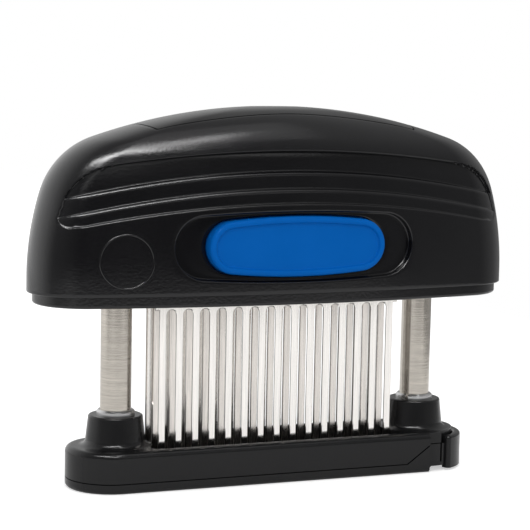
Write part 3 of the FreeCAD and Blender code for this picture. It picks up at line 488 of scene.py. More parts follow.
@dataclass
class Studio:
    """Camera, floor, lamps and world."""

    place_mm: Triple = (-228.82, -554.92, 137.36)
    heading: float = 22.409
    pitch: float = 6.750
    roll: float = 1.170
    focal_px: float = 1939.13
    image_px: float = 530.0
    centre_px: Pair = (272.15, 265.0)
    sensor_mm: float = 36.0
    nearest: float = 0.01
    world_strength: float = 0.8
    floor_shade: float = 0.86
    floor_roughness: float = 0.9
    floor_mirrored: float = 0.2
    floor_lift: float = 0.5
    floor_half: Pair = (0.33, 1.0)
    floor_middle: Pair = (-0.08, 0.58)
    aim: Triple = (0.0, 0.0, 0.07)
    LAMPS = (
        ("overhead_lamp", (0.06, -0.34, 0.95), (0.7, 0.7), 0.8),
        ("left_lamp", (-0.39, -0.57, 0.713), (0.24, 0.1), 1.2),
        ("front_strip", (0.0, -1.2, 0.42), (1.2, 0.12), 0.6),
    )
    BEHIND = (-0.7, 1.0, 0.0)
    ROOM = {
        "behind": ((0.5, 1.15), (0.0, 1.3)),
        "sides": ((0.05, 0.9), (0.02, 0.3)),
        "right": ((-0.4, 0.9), (0.0, 0.12)),
        "above": ((0.05, 0.85), (0.0, 0.38)),
    }
    STRIP_CORE = 0.2
    STRIP_ENDS = (-0.03, 0.02)
    STRIPS = (
        ((0.18, -0.38, 0.91), (-0.045, -0.8, 0.6), 0.05, 17.0),
        ((-0.02, -0.79, 0.61), (-0.58, -0.3, 0.77), 0.085, 30.0),
    )

    def camera(self) -> Piece:
        """Set the camera at the fitted place, turned by heading, pitch and roll.

        Returns:
            The camera's object.
        """
        turns = (self.heading, self.pitch, self.roll)
        heading, pitch, roll = (math.radians(angle) for angle in turns)
        level_right = Vector((math.cos(heading), -math.sin(heading), 0.0))
        level_ahead = Vector((math.sin(heading), math.cos(heading), 0.0))
        down = Vector((0.0, 0.0, -1.0))
        ahead = level_ahead * math.cos(pitch) + down * math.sin(pitch)
        image_down = down * math.cos(pitch) - level_ahead * math.sin(pitch)
        right = level_right * math.cos(roll) - image_down * math.sin(roll)
        lower = level_right * math.sin(roll) + image_down * math.cos(roll)
        turn = Matrix((right, -lower, -ahead)).transposed().to_4x4()
        lens = bpy.data.cameras.new("camera")
        lens.sensor_width = self.sensor_mm
        lens.lens = self.focal_px / self.image_px * self.sensor_mm
        lens.shift_x = -(self.centre_px[0] / self.image_px - 0.5)
        lens.shift_y = self.centre_px[1] / self.image_px - 0.5
        lens.clip_start = self.nearest
        camera = bpy.data.objects.new("camera", lens)
        camera.matrix_world = Matrix.Translation(Vector(self.place_mm) * MM) @ turn
        bpy.context.scene.collection.objects.link(camera)
        bpy.context.scene.camera = camera
        return camera

    def world(self) -> None:
        """World that is white when seen and lights evenly, and is mirrored as a dim room."""
        world = bpy.data.worlds.new("studio")
        bpy.context.scene.world = world
        world.use_nodes = True
        tree = world.node_tree
        lit = tree.nodes["Background"]
        seen, mirrored = (tree.nodes.new("ShaderNodeBackground") for _ in range(2))
        white = (1.0, 1.0, 1.0, 1.0)
        for node, colour in ((lit, white), (seen, white), (mirrored, self.surroundings(tree))):
            feed(node.inputs["Color"], colour)
        feed(lit.inputs["Strength"], self.world_strength)
        rays = tree.nodes.new("ShaderNodeLightPath").outputs
        glossy = maths(tree, "MAXIMUM", rays["Is Glossy Ray"], rays["Is Transmission Ray"])
        shown = lit.outputs[0]
        for share, other in ((glossy, mirrored), (rays["Is Camera Ray"], seen)):
            mix = tree.nodes.new("ShaderNodeMixShader")
            for socket, value in zip(mix.inputs, (share, shown, other.outputs[0])):
                feed(socket, value)
            shown = mix.outputs[0]
        feed(tree.nodes["World Output"].inputs["Surface"], shown)

    @staticmethod
    def surroundings(tree: Tree) -> Socket:
        """Brightness of the room in each direction.

        Args:
            tree: the world's node tree.

        Returns:
            Socket with the brightness.
        """
        direction = tree.nodes.new("ShaderNodeTexCoord").outputs["Generated"]
        parts = tree.nodes.new("ShaderNodeSeparateXYZ")
        feed(parts.inputs["Vector"], direction)
        across, up = parts.outputs["X"], parts.outputs["Z"]
        behind = dot_product(tree, direction, Studio.BEHIND)
        sides = maths(tree, "MULTIPLY", across, across)
        sources = {"behind": behind, "sides": sides, "right": across, "above": up}
        lights = [remap(tree, value, *Studio.ROOM[name]) for name, value in sources.items()]
        lights += [Studio.strip(tree, direction, *strip) for strip in Studio.STRIPS]
        total = lights[0]
        for light in lights[1:]:
            total = maths(tree, "ADD", total, light)
        return total

    @staticmethod
    def strip(tree: Tree, direction: Socket, start: Triple,
              end: Triple, half: float, brightness: float) -> Socket:
        """Brightness of a soft strip light between two directions of the room.

        Args:
            tree: the world's node tree.
            direction: socket with the direction looked in.
            start: direction of the strip's one end.
            end: direction of its other end.
            half: half its width, in radians.
            brightness: brightness at its middle.

        Returns:
            Socket with the strip's brightness.
        """
        first, last = Vector(start).normalized(), Vector(end).normalized()
        across, middle = first.cross(last).normalized(), (first + last).normalized()
        aside = maths(tree, "ABSOLUTE", dot_product(tree, direction, across))
        reach = first.dot(middle)
        narrow = remap(tree, aside, (half, Studio.STRIP_CORE * half), (0.0, brightness))
        inward = dot_product(tree, direction, middle)
        outer, inner = Studio.STRIP_ENDS
        short = remap(tree, inward, (reach + outer, reach + inner), (0.0, 1.0))
        return maths(tree, "MULTIPLY", narrow, short)

    def floor(self) -> Piece:
        """Pale floor that shows white and keeps a soft shadow.

        Returns:
            The floor's object.
        """
        material, shader, _ = start_material("pale_floor", Roughness=self.floor_roughness,
                                             Specular_IOR_Level=0.0)
        tree = material.node_tree
        shader.inputs["Base Color"].default_value = (*(self.floor_shade,) * 3, 1.0)
        shader.inputs["Emission Color"].default_value = (1.0, 1.0, 1.0, 1.0)
        rays = tree.nodes.new("ShaderNodeLightPath").outputs
        mirrored = maths(tree, "MULTIPLY", rays["Is Glossy Ray"], self.floor_mirrored)
        lift = maths(tree, "MULTIPLY_ADD", rays["Is Camera Ray"], self.floor_lift, mirrored)
        feed(shader.inputs["Emission Strength"], lift)
        mesh = bpy.data.meshes.new("floor")
        work = bmesh.new()
        bmesh.ops.create_grid(work, x_segments=1, y_segments=1, size=1.0)
        bmesh.ops.scale(work, vec=(*self.floor_half, 1.0), verts=work.verts)
        move(work, work.verts, *self.floor_middle, 0.0)
        work.to_mesh(mesh)
        work.free()
        mesh.materials.append(material)
        floor = bpy.data.objects.new("floor", mesh)
        bpy.context.scene.collection.objects.link(floor)
        return floor

    def lamp(self, name: str, place: Triple, size: Pair, power: float) -> Piece:
        """Soft rectangular lamp that faces the tool.

        Args:
            name: name of the lamp.
            place: its middle, in metres.
            size: its width and height, in metres.
            power: watts.

        Returns:
            The lamp's object.
        """
        data = bpy.data.lights.new(name, "AREA")
        data.shape = "RECTANGLE"
        data.size, data.size_y = size
        data.energy = power
        lamp = bpy.data.objects.new(name, data)
        toward = Vector(self.aim) - Vector(place)
        turn = toward.to_track_quat("-Z", "Y").to_matrix().to_4x4()
        lamp.matrix_world = Matrix.Translation(Vector(place)) @ turn
        bpy.context.scene.collection.objects.link(lamp)
        return lamp

    def build(self) -> None:
        """Make the whole studio."""
        bpy.context.scene.view_settings.view_transform = "Standard"
        self.camera()
        self.world()
        self.floor()
        for lamp in self.LAMPS:
            self.lamp(*lamp)


# ---- Mesh helpers ----


def quarter(count: int, start: int = 1) -> list[Pair]:
    """Steps along a quarter turn.

    Args:
        count: number of steps in the turn.
        start: first step that is wanted.

    Returns:
        What is left of the sine and of the cosine, 1 - sin and 1 - cos, at each step.
    """
    turns = (math.radians(90.0 * step / count) for step in range(start, count + 1))
    return [(1 - math.sin(turn), 1 - math.cos(turn)) for turn in turns]


def shares(count: int, start: int = 1) -> list[float]:
    """Equal shares of a whole: start / count up to 1."""
    return [step / count for step in range(start, count + 1)]


def ease(share: float) -> float:
    """Smooth step of a share from 0 to 1."""
    return share * share * (3 - 2 * share)


def face_front(work: Mesh, corners: list[Corner]) -> None:
    """Turn flat work from the floor plane up to the front plane."""
    bmesh.ops.rotate(work, matrix=Matrix.Rotation(math.radians(90), 3, "X"), verts=corners)


def move(work: Mesh, corners: list[Corner], x: float, y: float, z: float) -> None:
    """Shift corners of a mesh."""
    bmesh.ops.translate(work, vec=(x, y, z), verts=corners)


def add_block(work: Mesh, size: Triple, middle: Triple) -> None:
    """Add a rectangular block of a size round a middle.

    Args:
        work: mesh being built.
        size: its size along X, Y and Z.
        middle: its middle.
    """
    corners = bmesh.ops.create_cube(work, size=1.0)["verts"]
    bmesh.ops.scale(work, vec=size, verts=corners)
    move(work, corners, *middle)


def add_pin(work: Mesh, radius: float, length: float, middle: Triple, sides: int) -> None:
    """Add a round pin that runs from front to rear.

    Args:
        work: mesh being built.
        radius: radius of the pin.
        length: its length.
        middle: its middle.
        sides: number of flat runs round it.
    """
    corners = bmesh.ops.create_cone(work, cap_ends=True, segments=sides, radius1=radius,
                                    radius2=radius, depth=length)["verts"]
    face_front(work, corners)
    move(work, corners, *middle)


def extrude_loop(work: Mesh, edges: Loop, place: Rule) -> Loop:
    """Extrude a closed loop of edges and put each new corner in its place.

    Args:
        work: mesh being built.
        edges: edges of the loop.
        place: where a new corner goes, from where the old one is.

    Returns:
        The edges of the new loop.
    """
    made = bmesh.ops.extrude_edge_only(work, edges=edges)["geom"]
    corners = {item for item in made if isinstance(item, Corner)}
    for corner in corners:
        corner.co = place(corner.co)
    return [item for item in made if isinstance(item, Edge)
            and item.verts[0] in corners and item.verts[1] in corners]


def close_loop(work: Mesh, edges: Loop) -> None:
    """Fill a closed loop with one face."""
    bmesh.ops.edgeloop_fill(work, edges=edges)


def make_piece(name: str, work: Mesh, material: Material, crease: float = CREASE) -> Piece:
    """Turn a mesh drawn in millimetres into a smooth piece in metres.

    Args:
        name: name of the piece.
        work: mesh, freed here.
        material: finish of the piece.
        crease: angle in degrees above which an edge stays sharp.

    Returns:
        The new object, linked to the scene.
    """
    bmesh.ops.recalc_face_normals(work, faces=work.faces)
    bmesh.ops.scale(work, vec=(MM, MM, MM), verts=work.verts)
    for side in work.faces:
        side.smooth = True
    mesh = bpy.data.meshes.new(name)
    work.to_mesh(mesh)
    work.free()
    mesh.set_sharp_from_angle(angle=math.radians(crease))
    mesh.materials.append(material)
    piece = bpy.data.objects.new(name, mesh)
    bpy.context.scene.collection.objects.link(piece)
    return piece


def subtract(piece: Piece, tools: list[Piece], crease: float = CREASE) -> None:
    """Cut tools out of a piece and remove them.

    Args:
        piece: piece to cut, whose mesh is replaced.
        tools: closed pieces that are cut away.
        crease: angle in degrees above which an edge stays sharp.
    """
    for tool in tools:
        cut = piece.modifiers.new("cut", "BOOLEAN")
        cut.operation = "DIFFERENCE"
        cut.solver = "EXACT"
        cut.object = tool
    graph = bpy.context.evaluated_depsgraph_get()
    mesh = bpy.data.meshes.new_from_object(piece.evaluated_get(graph))
    piece.modifiers.clear()
    old = piece.data
    piece.data = mesh
    bpy.data.meshes.remove(old)
    mesh.name = piece.name
    mesh.set_sharp_from_angle(angle=math.radians(crease))
    for tool in tools:
        spent = tool.data
        bpy.data.objects.remove(tool)
        bpy.data.meshes.remove(spent)


def hand_over(piece: Piece, body: str, slot: str, *nodes: str) -> None:
    """Fix a piece to its body and hide the CAD nodes that it stands for.

    Args:
        piece: the piece.
        body: body that it rides.
        slot: name of its material slot; not used.
        *nodes: CAD nodes that it stands for.
    """
    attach(piece, body)
    if nodes:
        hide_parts(*nodes)
    log.info("built %s: %d faces, on %s", piece.name, len(piece.data.polygons), body)


def dress(node: str, material: Material) -> None:
    """Give a CAD node one finish in all its slots.

    Args:
        node: name of the CAD node.
        material: its finish.
    """
    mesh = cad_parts[node].data
    if not mesh.materials:
        mesh.materials.append(material)
    for index in range(len(mesh.materials)):
        mesh.materials[index] = material
    log.info("dressed %s in %s", node, material.name)


# ---- Plan and elevation outlines, in millimetres ----


@dataclass(frozen=True)
class Station:
    """Place along an oval: 0 to 1 on a side arc, 1 to 2 on an end arc, signed left to right."""

    across: float
    fore: float


@dataclass(frozen=True)
class Oval:
    """Plan outline of two long side arcs and two tangent end arcs."""

    length: float
    width: float
    end: float

    def arcs(self) -> tuple[float, float, float, float]:
        """End centre, side radius, sink of the side centre and angle where they join.

        Returns:
            The four, in that order.
        """
        centre = self.length - self.end
        side = (centre**2 + self.width**2 - self.end**2) / (2 * (self.width - self.end))
        sink = side - self.width
        return centre, side, sink, math.atan2(centre, sink)

    def point(self, station: Station) -> Pair:
        """Point of the oval at a station.

        Args:
            station: place along the oval.

        Returns:
            Its X and Y.
        """
        centre, side, sink, joint = self.arcs()
        share = abs(station.across)
        if share <= 1:
            x, y = side * math.sin(share * joint), side * math.cos(share * joint) - sink
        else:
            turn = joint + (math.pi / 2 - joint) * (share - 1)
            x, y = centre + self.end * math.sin(turn), self.end * math.cos(turn)
        return math.copysign(x, station.across), station.fore * y

    def reach(self, x: float) -> float:
        """Distance from the long axis to the oval at an X.

        Args:
            x: place along the long axis.

        Returns:
            The distance, 0 past the oval's end.
        """
        centre, side, sink, joint = self.arcs()
        x = abs(x)
        if x <= side * math.sin(joint):
            return math.sqrt(side**2 - x**2) - sink
        return math.sqrt(max(self.end**2 - (x - centre) ** 2, 0.0))

    def holds(self, x: float, y: float) -> bool:
        """Whether a point lies inside the oval."""
        return abs(x) < self.length and abs(y) < self.reach(x)


@dataclass
class SideOutline:
    """Half outline of the hood from one side: wall, shoulder and crown arcs."""

    half: float
    wall_level: float
    wall: float
    shoulder: float
    crown: float
    top: float = 115.8

    def __post_init__(self) -> None:
        """Work out where the three arcs meet."""
        self.wall_centre = (self.half - self.wall, self.wall_level)
        self.crown_centre = (0.0, self.top - self.crown)
        self.shoulder_centre = self.crossing(self.crown - self.shoulder, self.wall - self.shoulder)
        self.shoulder_low = self.touch(self.wall_centre, self.wall)
        self.shoulder_high = self.touch(self.crown_centre, self.crown)

    def crossing(self, from_crown: float, from_wall: float) -> Pair:
        """Upper crossing of two circles round the crown's and wall's centres.

        Args:
            from_crown: radius of the circle round the crown's centre.
            from_wall: radius of the circle round the wall's centre.

        Returns:
            The crossing's distance from the middle plane and its level.
        """
        ax, az = self.crown_centre
        bx, bz = self.wall_centre
        apart = math.hypot(bx - ax, bz - az)
        along = (from_crown**2 - from_wall**2 + apart**2) / (2 * apart)
        aside = math.sqrt(from_crown**2 - along**2)
        ux, uz = (bx - ax) / apart, (bz - az) / apart
        first = (ax + along * ux - aside * uz, az + along * uz + aside * ux)
        second = (ax + along * ux + aside * uz, az + along * uz - aside * ux)
        return max(first, second, key=lambda point: point[1])

    def touch(self, centre: Pair, radius: float) -> float:
        """Level where the shoulder arc meets a larger arc.

        Args:
            centre: centre of the larger arc.
            radius: its radius.

        Returns:
            The level.
        """
        dx = self.shoulder_centre[0] - centre[0]
        dz = self.shoulder_centre[1] - centre[1]
        return centre[1] + radius * dz / math.hypot(dx, dz)

    def reach(self, level: float) -> float:
        """Distance from the middle plane to the outline at a level.

        Args:
            level: height.

        Returns:
            The distance.
        """
        if level >= self.shoulder_high:
            centre, radius = self.crown_centre, self.crown
        elif level >= self.shoulder_low:
            centre, radius = self.shoulder_centre, self.shoulder
        else:
            centre, radius = self.wall_centre, self.wall
            level = max(level, centre[1])
        return centre[0] + math.sqrt(max(radius**2 - (level - centre[1]) ** 2, 0.0))


@dataclass(frozen=True)
class Arch:
    """Shallow arch of a grip line seen from the front."""

    peak: float
    radius: float

    def level(self, x: float) -> float:
        """Height of the arch at an X."""
        return self.peak - self.radius + math.sqrt(self.radius**2 - x**2)


@dataclass(frozen=True)
class Bowed:
    """Long outline seen from the front: two bowed sides with a tangent arc at each end."""

    length: float
    height: float
    end: float
    level: float

    def at(self, x: float, z: float, growth: float) -> Pair:
        """Point of the grown outline nearest to a point.

        Args:
            x: X of the point.
            z: Z of the point.
            growth: distance that the outline is grown by.

        Returns:
            X and Z on the grown outline.
        """
        centre, side, sink, joint = Oval(self.length, self.height, self.end).arcs()
        across, up = abs(x), abs(z - self.level)
        if math.atan2(across, up + sink) < joint:
            scale = (side + growth) / math.hypot(across, up + sink)
            across, up = across * scale, (up + sink) * scale - sink
        else:
            scale = max(self.end + growth, LEAST_END) / math.hypot(across - centre, up)
            across, up = centre + (across - centre) * scale, up * scale
        return math.copysign(across, x), self.level + math.copysign(up, z - self.level)


def on_outline(outline: Bowed, growth: float, y: float) -> Rule:
    """Placing rule: the nearest point of a grown outline, in one upright plane.

    Args:
        outline: outline to go to.
        growth: distance that it is grown by.
        y: signed distance from the middle plane.

    Returns:
        The rule.
    """
    def place(corner: Vector) -> Vector:
        """New place of a corner."""
        x, z = outline.at(corner.x, corner.z, growth)
        return Vector((x, y, z))
    return place


def arc_through(start: Pair, middle: Pair, end: Pair, steps: int) -> list[Pair]:
    """Points along an arc through three points.

    Args:
        start: first point.
        middle: a point between.
        end: last point.
        steps: number of runs between the ends.

    Returns:
        The points, both ends included.
    """
    ax, ay = middle[0] - start[0], middle[1] - start[1]
    bx, by = end[0] - start[0], end[1] - start[1]
    cross = 2 * (ax * by - ay * bx)
    aa, bb = ax * ax + ay * ay, bx * bx + by * by
    ux, uy = (by * aa - ay * bb) / cross, (ax * bb - bx * aa) / cross
    first = math.atan2(-uy, -ux)
    last = math.atan2(by - uy, bx - ux)
    turn = (last - first) % math.tau
    if cross < 0:
        turn -= math.tau
    radius = math.hypot(ux, uy)
    centre = (start[0] + ux, start[1] + uy)
    return [(centre[0] + radius * math.cos(first + turn * step / steps),
             centre[1] + radius * math.sin(first + turn * step / steps))
            for step in range(steps + 1)]


# ---- Hood ----


@dataclass(frozen=True)
class Row:
    """Line round the hood: its level between two grip lines, and how deep it lies."""

    lower: int
    upper: int
    share: float
    rise: float
    depth: float


@dataclass
class Hood:
    """Moulded hood with its finger grip, button windows, palm insert and inside rooms."""

    edge: float = 60.0
    top: float = 115.8
    roundness: float = 0.744
    length: SideOutline = field(default_factory=lambda: SideOutline(78.2, 64.0, 90.0, 25.0, 182.0))
    width: SideOutline = field(default_factory=lambda: SideOutline(21.5, 60.0, 660.0, 16.0, 40.0))
    lines: tuple[Arch, ...] = (Arch(87.3, 340.0), Arch(91.6, 312.0),
                               Arch(96.75, 315.0), Arch(103.15, 380.0))
    depths: tuple[float, ...] = (1.2, 2.4, 3.7)
    crest_rounds: tuple[float, ...] = (0.55, 1.2, 1.2, 0.35)
    fillet: float = 0.3
    lip: float = 0.4
    SPANS = ((0.0, 0.677, 44), (0.677, 0.862, 8), (0.862, 1.0, 26), (1.0, 1.62, 39), (1.62, 2.0, 8))
    LIP_INSETS = (0.4, 0.2, 0.05)
    SIDE_RUNS = (26, 8, 10, 16)
    CROWN_RUNS = 26
    CROWDING = 1.7
    GROOVE = ((0.05, 0.06), (0.0, 0.2), (0.0, 1.0))
    CLOSINGS = (0.35, 0.7, 1.0)
    WINDOW_ROWS = range(5, 29)
    HALVINGS = 30
    ROUNDS = 25
    GRIP_RUNS = (12, 24)
    UNDER_SILL = (52.0, 60.0, 64.0)
    OVER_TOP = (54.0, 50.0, 46.0)
    FILLET_STEPS = 3
    CREST_STEPS = 6
    EDGE_STEPS = 4
    ROOM_SIDES = 72
    ROOM_LEVELS = (62.2, 62.4, 66.0, 70.0, 74.0, 79.0)
    TUNNEL_SIDES = 96
    TUNNEL_LEVELS = (78.0, 90.0)
    ROOF_SHARES = (1.0, 0.75, 0.5, 0.25, 0.05)
    grip_low: tuple[Pair, ...] = ((68.0, 80.43), (71.3, 80.7), (72.6, 82.9))
    grip_high: tuple[Pair, ...] = ((70.4, 89.3), (65.3, 95.5), (58.0, 98.7))
    grip_wall: float = 0.7
    grip_ends: Pair = (50.0, 74.0)
    tail_slope: float = 0.25
    scoop: Bowed = Bowed(38.8, 10.6, 9.6, 74.3)
    scoop_depth: float = 2.35
    scoop_lip: float = 0.45
    scoop_fillet: float = 0.5
    hole_round: Pair = (0.25, 0.07)
    hole_past: float = 0.4
    hole: Bowed = Bowed(28.95, 9.5, 8.35, 74.4)
    bay_face: float = 16.0
    bay_half: float = 34.0
    bay_top: float = 85.4
    hold_level: float = 62.3
    hold_half: float = 42.0
    tunnel: Oval = Oval(68.0, 12.2, 9.0)
    insert_half: Pair = (44.4, 11.0)
    insert_bow: float = 2.4
    insert_depth: float = 2.02
    seam: float = 0.32
    seam_lip: float = 0.15
    wall: float = 2.6
    roof: float = 3.0
    mark: Triple = (-53.1, 70.6, 7.95)
    MARK_SIDES = 128
    MARK_CREASE = 70.0
    MARK_SECTION = ((-0.3, -0.2), (-0.3, 0.02), (-0.2, 0.14), (0.0, 0.2),
                    (0.2, 0.14), (0.3, 0.02), (0.3, -0.2))

    def stations(self) -> list[Station]:
        """Stations round the hood, closer together at the ends of the grip.

        Returns:
            The stations, from the left end along the front and back along the rear.
        """
        half = [low + (high - low) * step / count
                for low, high, count in self.SPANS for step in range(count)] + [2.0]
        front = [-share for share in reversed(half)] + half[1:]
        return ([Station(share, -1.0) for share in front]
                + [Station(share, 1.0) for share in front[-2:0:-1]])

    def oval(self, level: float, inset: float = 0.0, depth: float = 0.0) -> Oval:
        """Plan outline of the skin at a level.

        Args:
            level: height.
            inset: distance that it is drawn in all round.
            depth: distance that its sides alone are drawn in.

        Returns:
            The oval.
        """
        width = self.width.reach(level) - inset - depth
        return Oval(self.length.reach(level) - inset, width, self.roundness * width)

    def skin(self, x: float, z: float, depth: float = 0.0) -> float:
        """Distance of the skin, or of a floor sunk in it, from the middle plane."""
        return self.oval(z, depth=depth).reach(x)

    def height(self, x: float, y: float) -> float:
        """Level at which the skin stands over a point of the plan.

        Args:
            x: X of the point.
            y: Y of the point.

        Returns:
            The level.
        """
        low, high = self.edge, self.top
        for _ in range(self.HALVINGS):
            middle = (low + high) / 2
            if self.oval(middle).holds(x, y):
                low = middle
            else:
                high = middle
        return low

    def grip_levels(self, station: Station) -> list[float]:
        """Levels of the hood's edge and of each grip line at a station.

        Args:
            station: place round the hood.

        Returns:
            The levels, lowest first.
        """
        levels = [self.edge]
        for arch in self.lines:
            level = arch.peak
            for _ in range(self.ROUNDS):
                level = 0.5 * (level + arch.level(self.oval(level).point(station)[0]))
            levels.append(level)
        return levels

    def end_outline(self) -> list[Pair]:
        """Right end of the grip's outline, from under the sill up to over its top.

        Returns:
            X and Z of its points.
        """
        low = arc_through(*self.grip_low, self.GRIP_RUNS[0])
        high = arc_through(*self.grip_high, self.GRIP_RUNS[1])
        sill, top = self.lines[0], self.lines[-1]
        first, last = self.grip_low[0][0], self.grip_high[-1][0]
        under = [(x, sill.level(x) - (first - x) * self.tail_slope) for x in self.UNDER_SILL]
        over = [(x, top.level(x) + (last - x) * self.tail_slope) for x in self.OVER_TOP]
        return under + low + high + over

    def grip_share(self, x: float, z: float) -> float:
        """Share of the grip's depth at a point: 0 outside its ends, 1 well inside.

        Args:
            x: X of the point.
            z: Z of the point.

        Returns:
            The share.
        """
        x = abs(x)
        if x < self.grip_ends[0]:
            return 1.0
        if x > self.grip_ends[1]:
            return 0.0
        nearest, side = math.inf, 1.0
        for (ax, az), (bx, bz) in zip(self.outline[:-1], self.outline[1:]):
            dx, dz = bx - ax, bz - az
            along = max(0.0, min(1.0, ((x - ax) * dx + (z - az) * dz) / (dx * dx + dz * dz)))
            gap = math.hypot(x - ax - along * dx, z - az - along * dz)
            if gap < nearest:
                nearest, side = gap, dx * (z - az) - dz * (x - ax)
        return ease(max(0.0, min(1.0, math.copysign(nearest, side) / self.grip_wall)))

    def rows(self) -> list[Row]:
        """Lines of the hood's side, from its edge up to over the grip.

        Returns:
            The lines, lowest first.
        """
        lip, fillet = self.lip, self.fillet
        rows = [Row(0, 0, 0, lip * cos_left, 0)
                for _, cos_left in quarter(self.FILLET_STEPS, 0)[:-1]]
        rows += [Row(0, 1, share, lip * (1 - share) - self.crest_rounds[0] * share, 0)
                 for share in shares(self.SIDE_RUNS[0], 0)]
        before = 0.0
        for index, depth in enumerate(self.depths, start=1):
            bend = self.crest_rounds[index - 1]
            bend_in = min(bend, depth - before - fillet)
            rows += [Row(index, index, 0, -bend * sin_left, before + bend_in * cos_left)
                     for sin_left, cos_left in quarter(self.CREST_STEPS)]
            rows += [Row(index, index, 0, fillet * cos_left, depth - fillet * sin_left)
                     for sin_left, cos_left in quarter(self.FILLET_STEPS, 0)]
            below = self.crest_rounds[index] if index < len(self.depths) else fillet
            rows += [Row(index, index + 1, share, fillet * (1 - share) - below * share, depth)
                     for share in shares(self.SIDE_RUNS[index])]
            before = depth
        deep, bend, last = self.depths[-1], self.crest_rounds[-1], len(self.depths) + 1
        rows += [Row(last, last, 0, -fillet * sin_left, deep - fillet * cos_left)
                 for sin_left, cos_left in quarter(self.FILLET_STEPS)]
        rows += [Row(last, last, 0, bend * cos_left, bend * sin_left)
                 for sin_left, cos_left in quarter(self.EDGE_STEPS, 0)]
        return rows

    def side_point(self, station: Station, levels: list[float], row: Row) -> Vector:
        """Point of the hood's side.

        Args:
            station: place round the hood.
            levels: levels of the edge and grip lines there.
            row: line that the point is on.

        Returns:
            The point.
        """
        low, high = levels[row.lower], levels[row.upper]
        z = low + (high - low) * row.share + row.rise
        x, y = self.oval(z).point(station)
        if row.depth > 0:
            depth = row.depth * self.grip_share(x, z)
            y = math.copysign(self.skin(x, z, depth), y)
        return Vector((x, y, z))

    def insert_point(self, station: Station, growth: float) -> Pair:
        """Point of the palm insert's plan outline.

        Args:
            station: place round the hood.
            growth: distance that the outline is grown by.

        Returns:
            Its X and Y.
        """
        end, half = self.insert_half[0] + growth, self.insert_half[1] + growth
        share = abs(station.across)
        if share <= 1:
            x, y = share * (end - self.insert_bow), half
        else:
            y = half * (2 - share)
            radius = (half**2 + self.insert_bow**2) / (2 * self.insert_bow)
            x = end - radius + math.sqrt(radius**2 - y**2)
        return math.copysign(x, station.across), math.copysign(y, station.fore)

    def crown_point(self, station: Station, start: Vector, share: float) -> Vector:
        """Point of the crown between the grip's top edge and the insert's groove.

        Args:
            station: place round the hood.
            start: point on the grip's top edge.
            share: part of the way in to the groove.

        Returns:
            The point.
        """
        x, y = self.insert_point(station, self.seam + self.seam_lip)
        x = start.x + (x - start.x) * share
        y = start.y + (y - start.y) * share
        return Vector((x, y, self.height(x, y)))

    def seat_point(self, station: Station, growth: float, depth: float,
                   closing: float = 0.0) -> Vector:
        """Point of the groove or of the seat under the palm insert.

        Args:
            station: place round the hood.
            growth: distance that the insert's outline is grown by.
            depth: depth under the skin.
            closing: share by which it is drawn in to the middle plane.

        Returns:
            The point.
        """
        x, y = self.insert_point(station, growth)
        y *= 1 - closing
        return Vector((x, y, self.height(x, y) - depth))

    def column_points(self, station: Station, rows: list[Row]) -> list[Vector]:
        """All points of one station, from the lower lip to the middle of the seat.

        Args:
            station: place round the hood.
            rows: lines of the hood's side.

        Returns:
            The points, lowest first.
        """
        levels = self.grip_levels(station)
        points = [self.side_point(station, levels, row) for row in rows]
        for index, inset in enumerate(self.LIP_INSETS):
            x, y = self.oval(self.edge, inset).point(station)
            points[index] = Vector((x, y, points[index].z))
        start = points[-1]
        points += [self.crown_point(station, start, share**self.CROWDING)
                   for share in shares(self.CROWN_RUNS)]
        points += [self.seat_point(station, self.seam + more, depth)
                   for more, depth in (*self.GROOVE, (0.0, self.insert_depth))]
        points += [self.seat_point(station, self.seam, self.insert_depth, closing)
                   for closing in self.CLOSINGS]
        return points

    def shell(self) -> Mesh:
        """Closed outer skin with its lip, grip, crown and insert seat.

        Returns:
            The skin's mesh.
        """
        stations, rows = self.stations(), self.rows()
        self.outline = self.end_outline()
        columns = [self.column_points(station, rows) for station in stations]
        across, up = len(stations), len(columns[0])
        work = bmesh.new()
        bmesh.ops.create_grid(work, x_segments=across, y_segments=up - 1, size=0.5)
        window = [[], []]
        for side in work.faces:
            middle = side.calc_center_median()
            column = int((middle.x + 0.5) * across)
            row = int((middle.y + 0.5) * (up - 1))
            station = stations[column]
            after = stations[(column + 1) % across]
            across_most = max(abs(station.across), abs(after.across))
            if row in self.WINDOW_ROWS and across_most < self.SPANS[0][1] + 0.001:
                window[0 if station.fore < 0 and after.fore < 0 else 1].append(side)
        for corner in work.verts:
            column = round((corner.co.x + 0.5) * across) % across
            row = round((corner.co.y + 0.5) * (up - 1))
            corner.co = columns[column][row]
        for sides, fore in zip(window, (-1.0, 1.0)):
            self.button_window(work, sides, fore)
        bmesh.ops.remove_doubles(work, verts=work.verts, dist=1e-5)
        for side in (True, False):
            loop = [edge for edge in work.edges if edge.is_boundary
                    and (edge.verts[0].co.z < self.edge + NEAR) == side]
            if loop:
                close_loop(work, loop)
        return work

    def button_window(self, work: Mesh, sides: list[Face], fore: float) -> None:
        """Replace a patch of the skin by the button's scoop and hole.

        Args:
            work: mesh of the hood.
            sides: faces of the patch.
            fore: -1 at the front, 1 at the rear.
        """
        patch = set(sides)
        loop = [edge for side in sides for edge in side.edges
                if sum(other in patch for other in edge.link_faces) == 1]
        bmesh.ops.delete(work, geom=sides, context="FACES")

        def on_skin(outline: Bowed, growth: float, share: float, depth: float) -> Rule:
            """Placing rule: part of the way to a grown outline, at a depth under the skin.

            Args:
                outline: outline to go toward.
                growth: distance that it is grown by.
                share: part of the way to go.
                depth: depth under the skin.

            Returns:
                The rule.
            """
            def place(corner: Vector) -> Vector:
                """New place of a corner.

                Args:
                    corner: old place.

                Returns:
                    The new place.
                """
                x, z = outline.at(corner.x, corner.z, growth)
                x, z = corner.x + (x - corner.x) * share, corner.z + (z - corner.z) * share
                return Vector((x, fore * (self.skin(x, z) - depth), z))
            return place

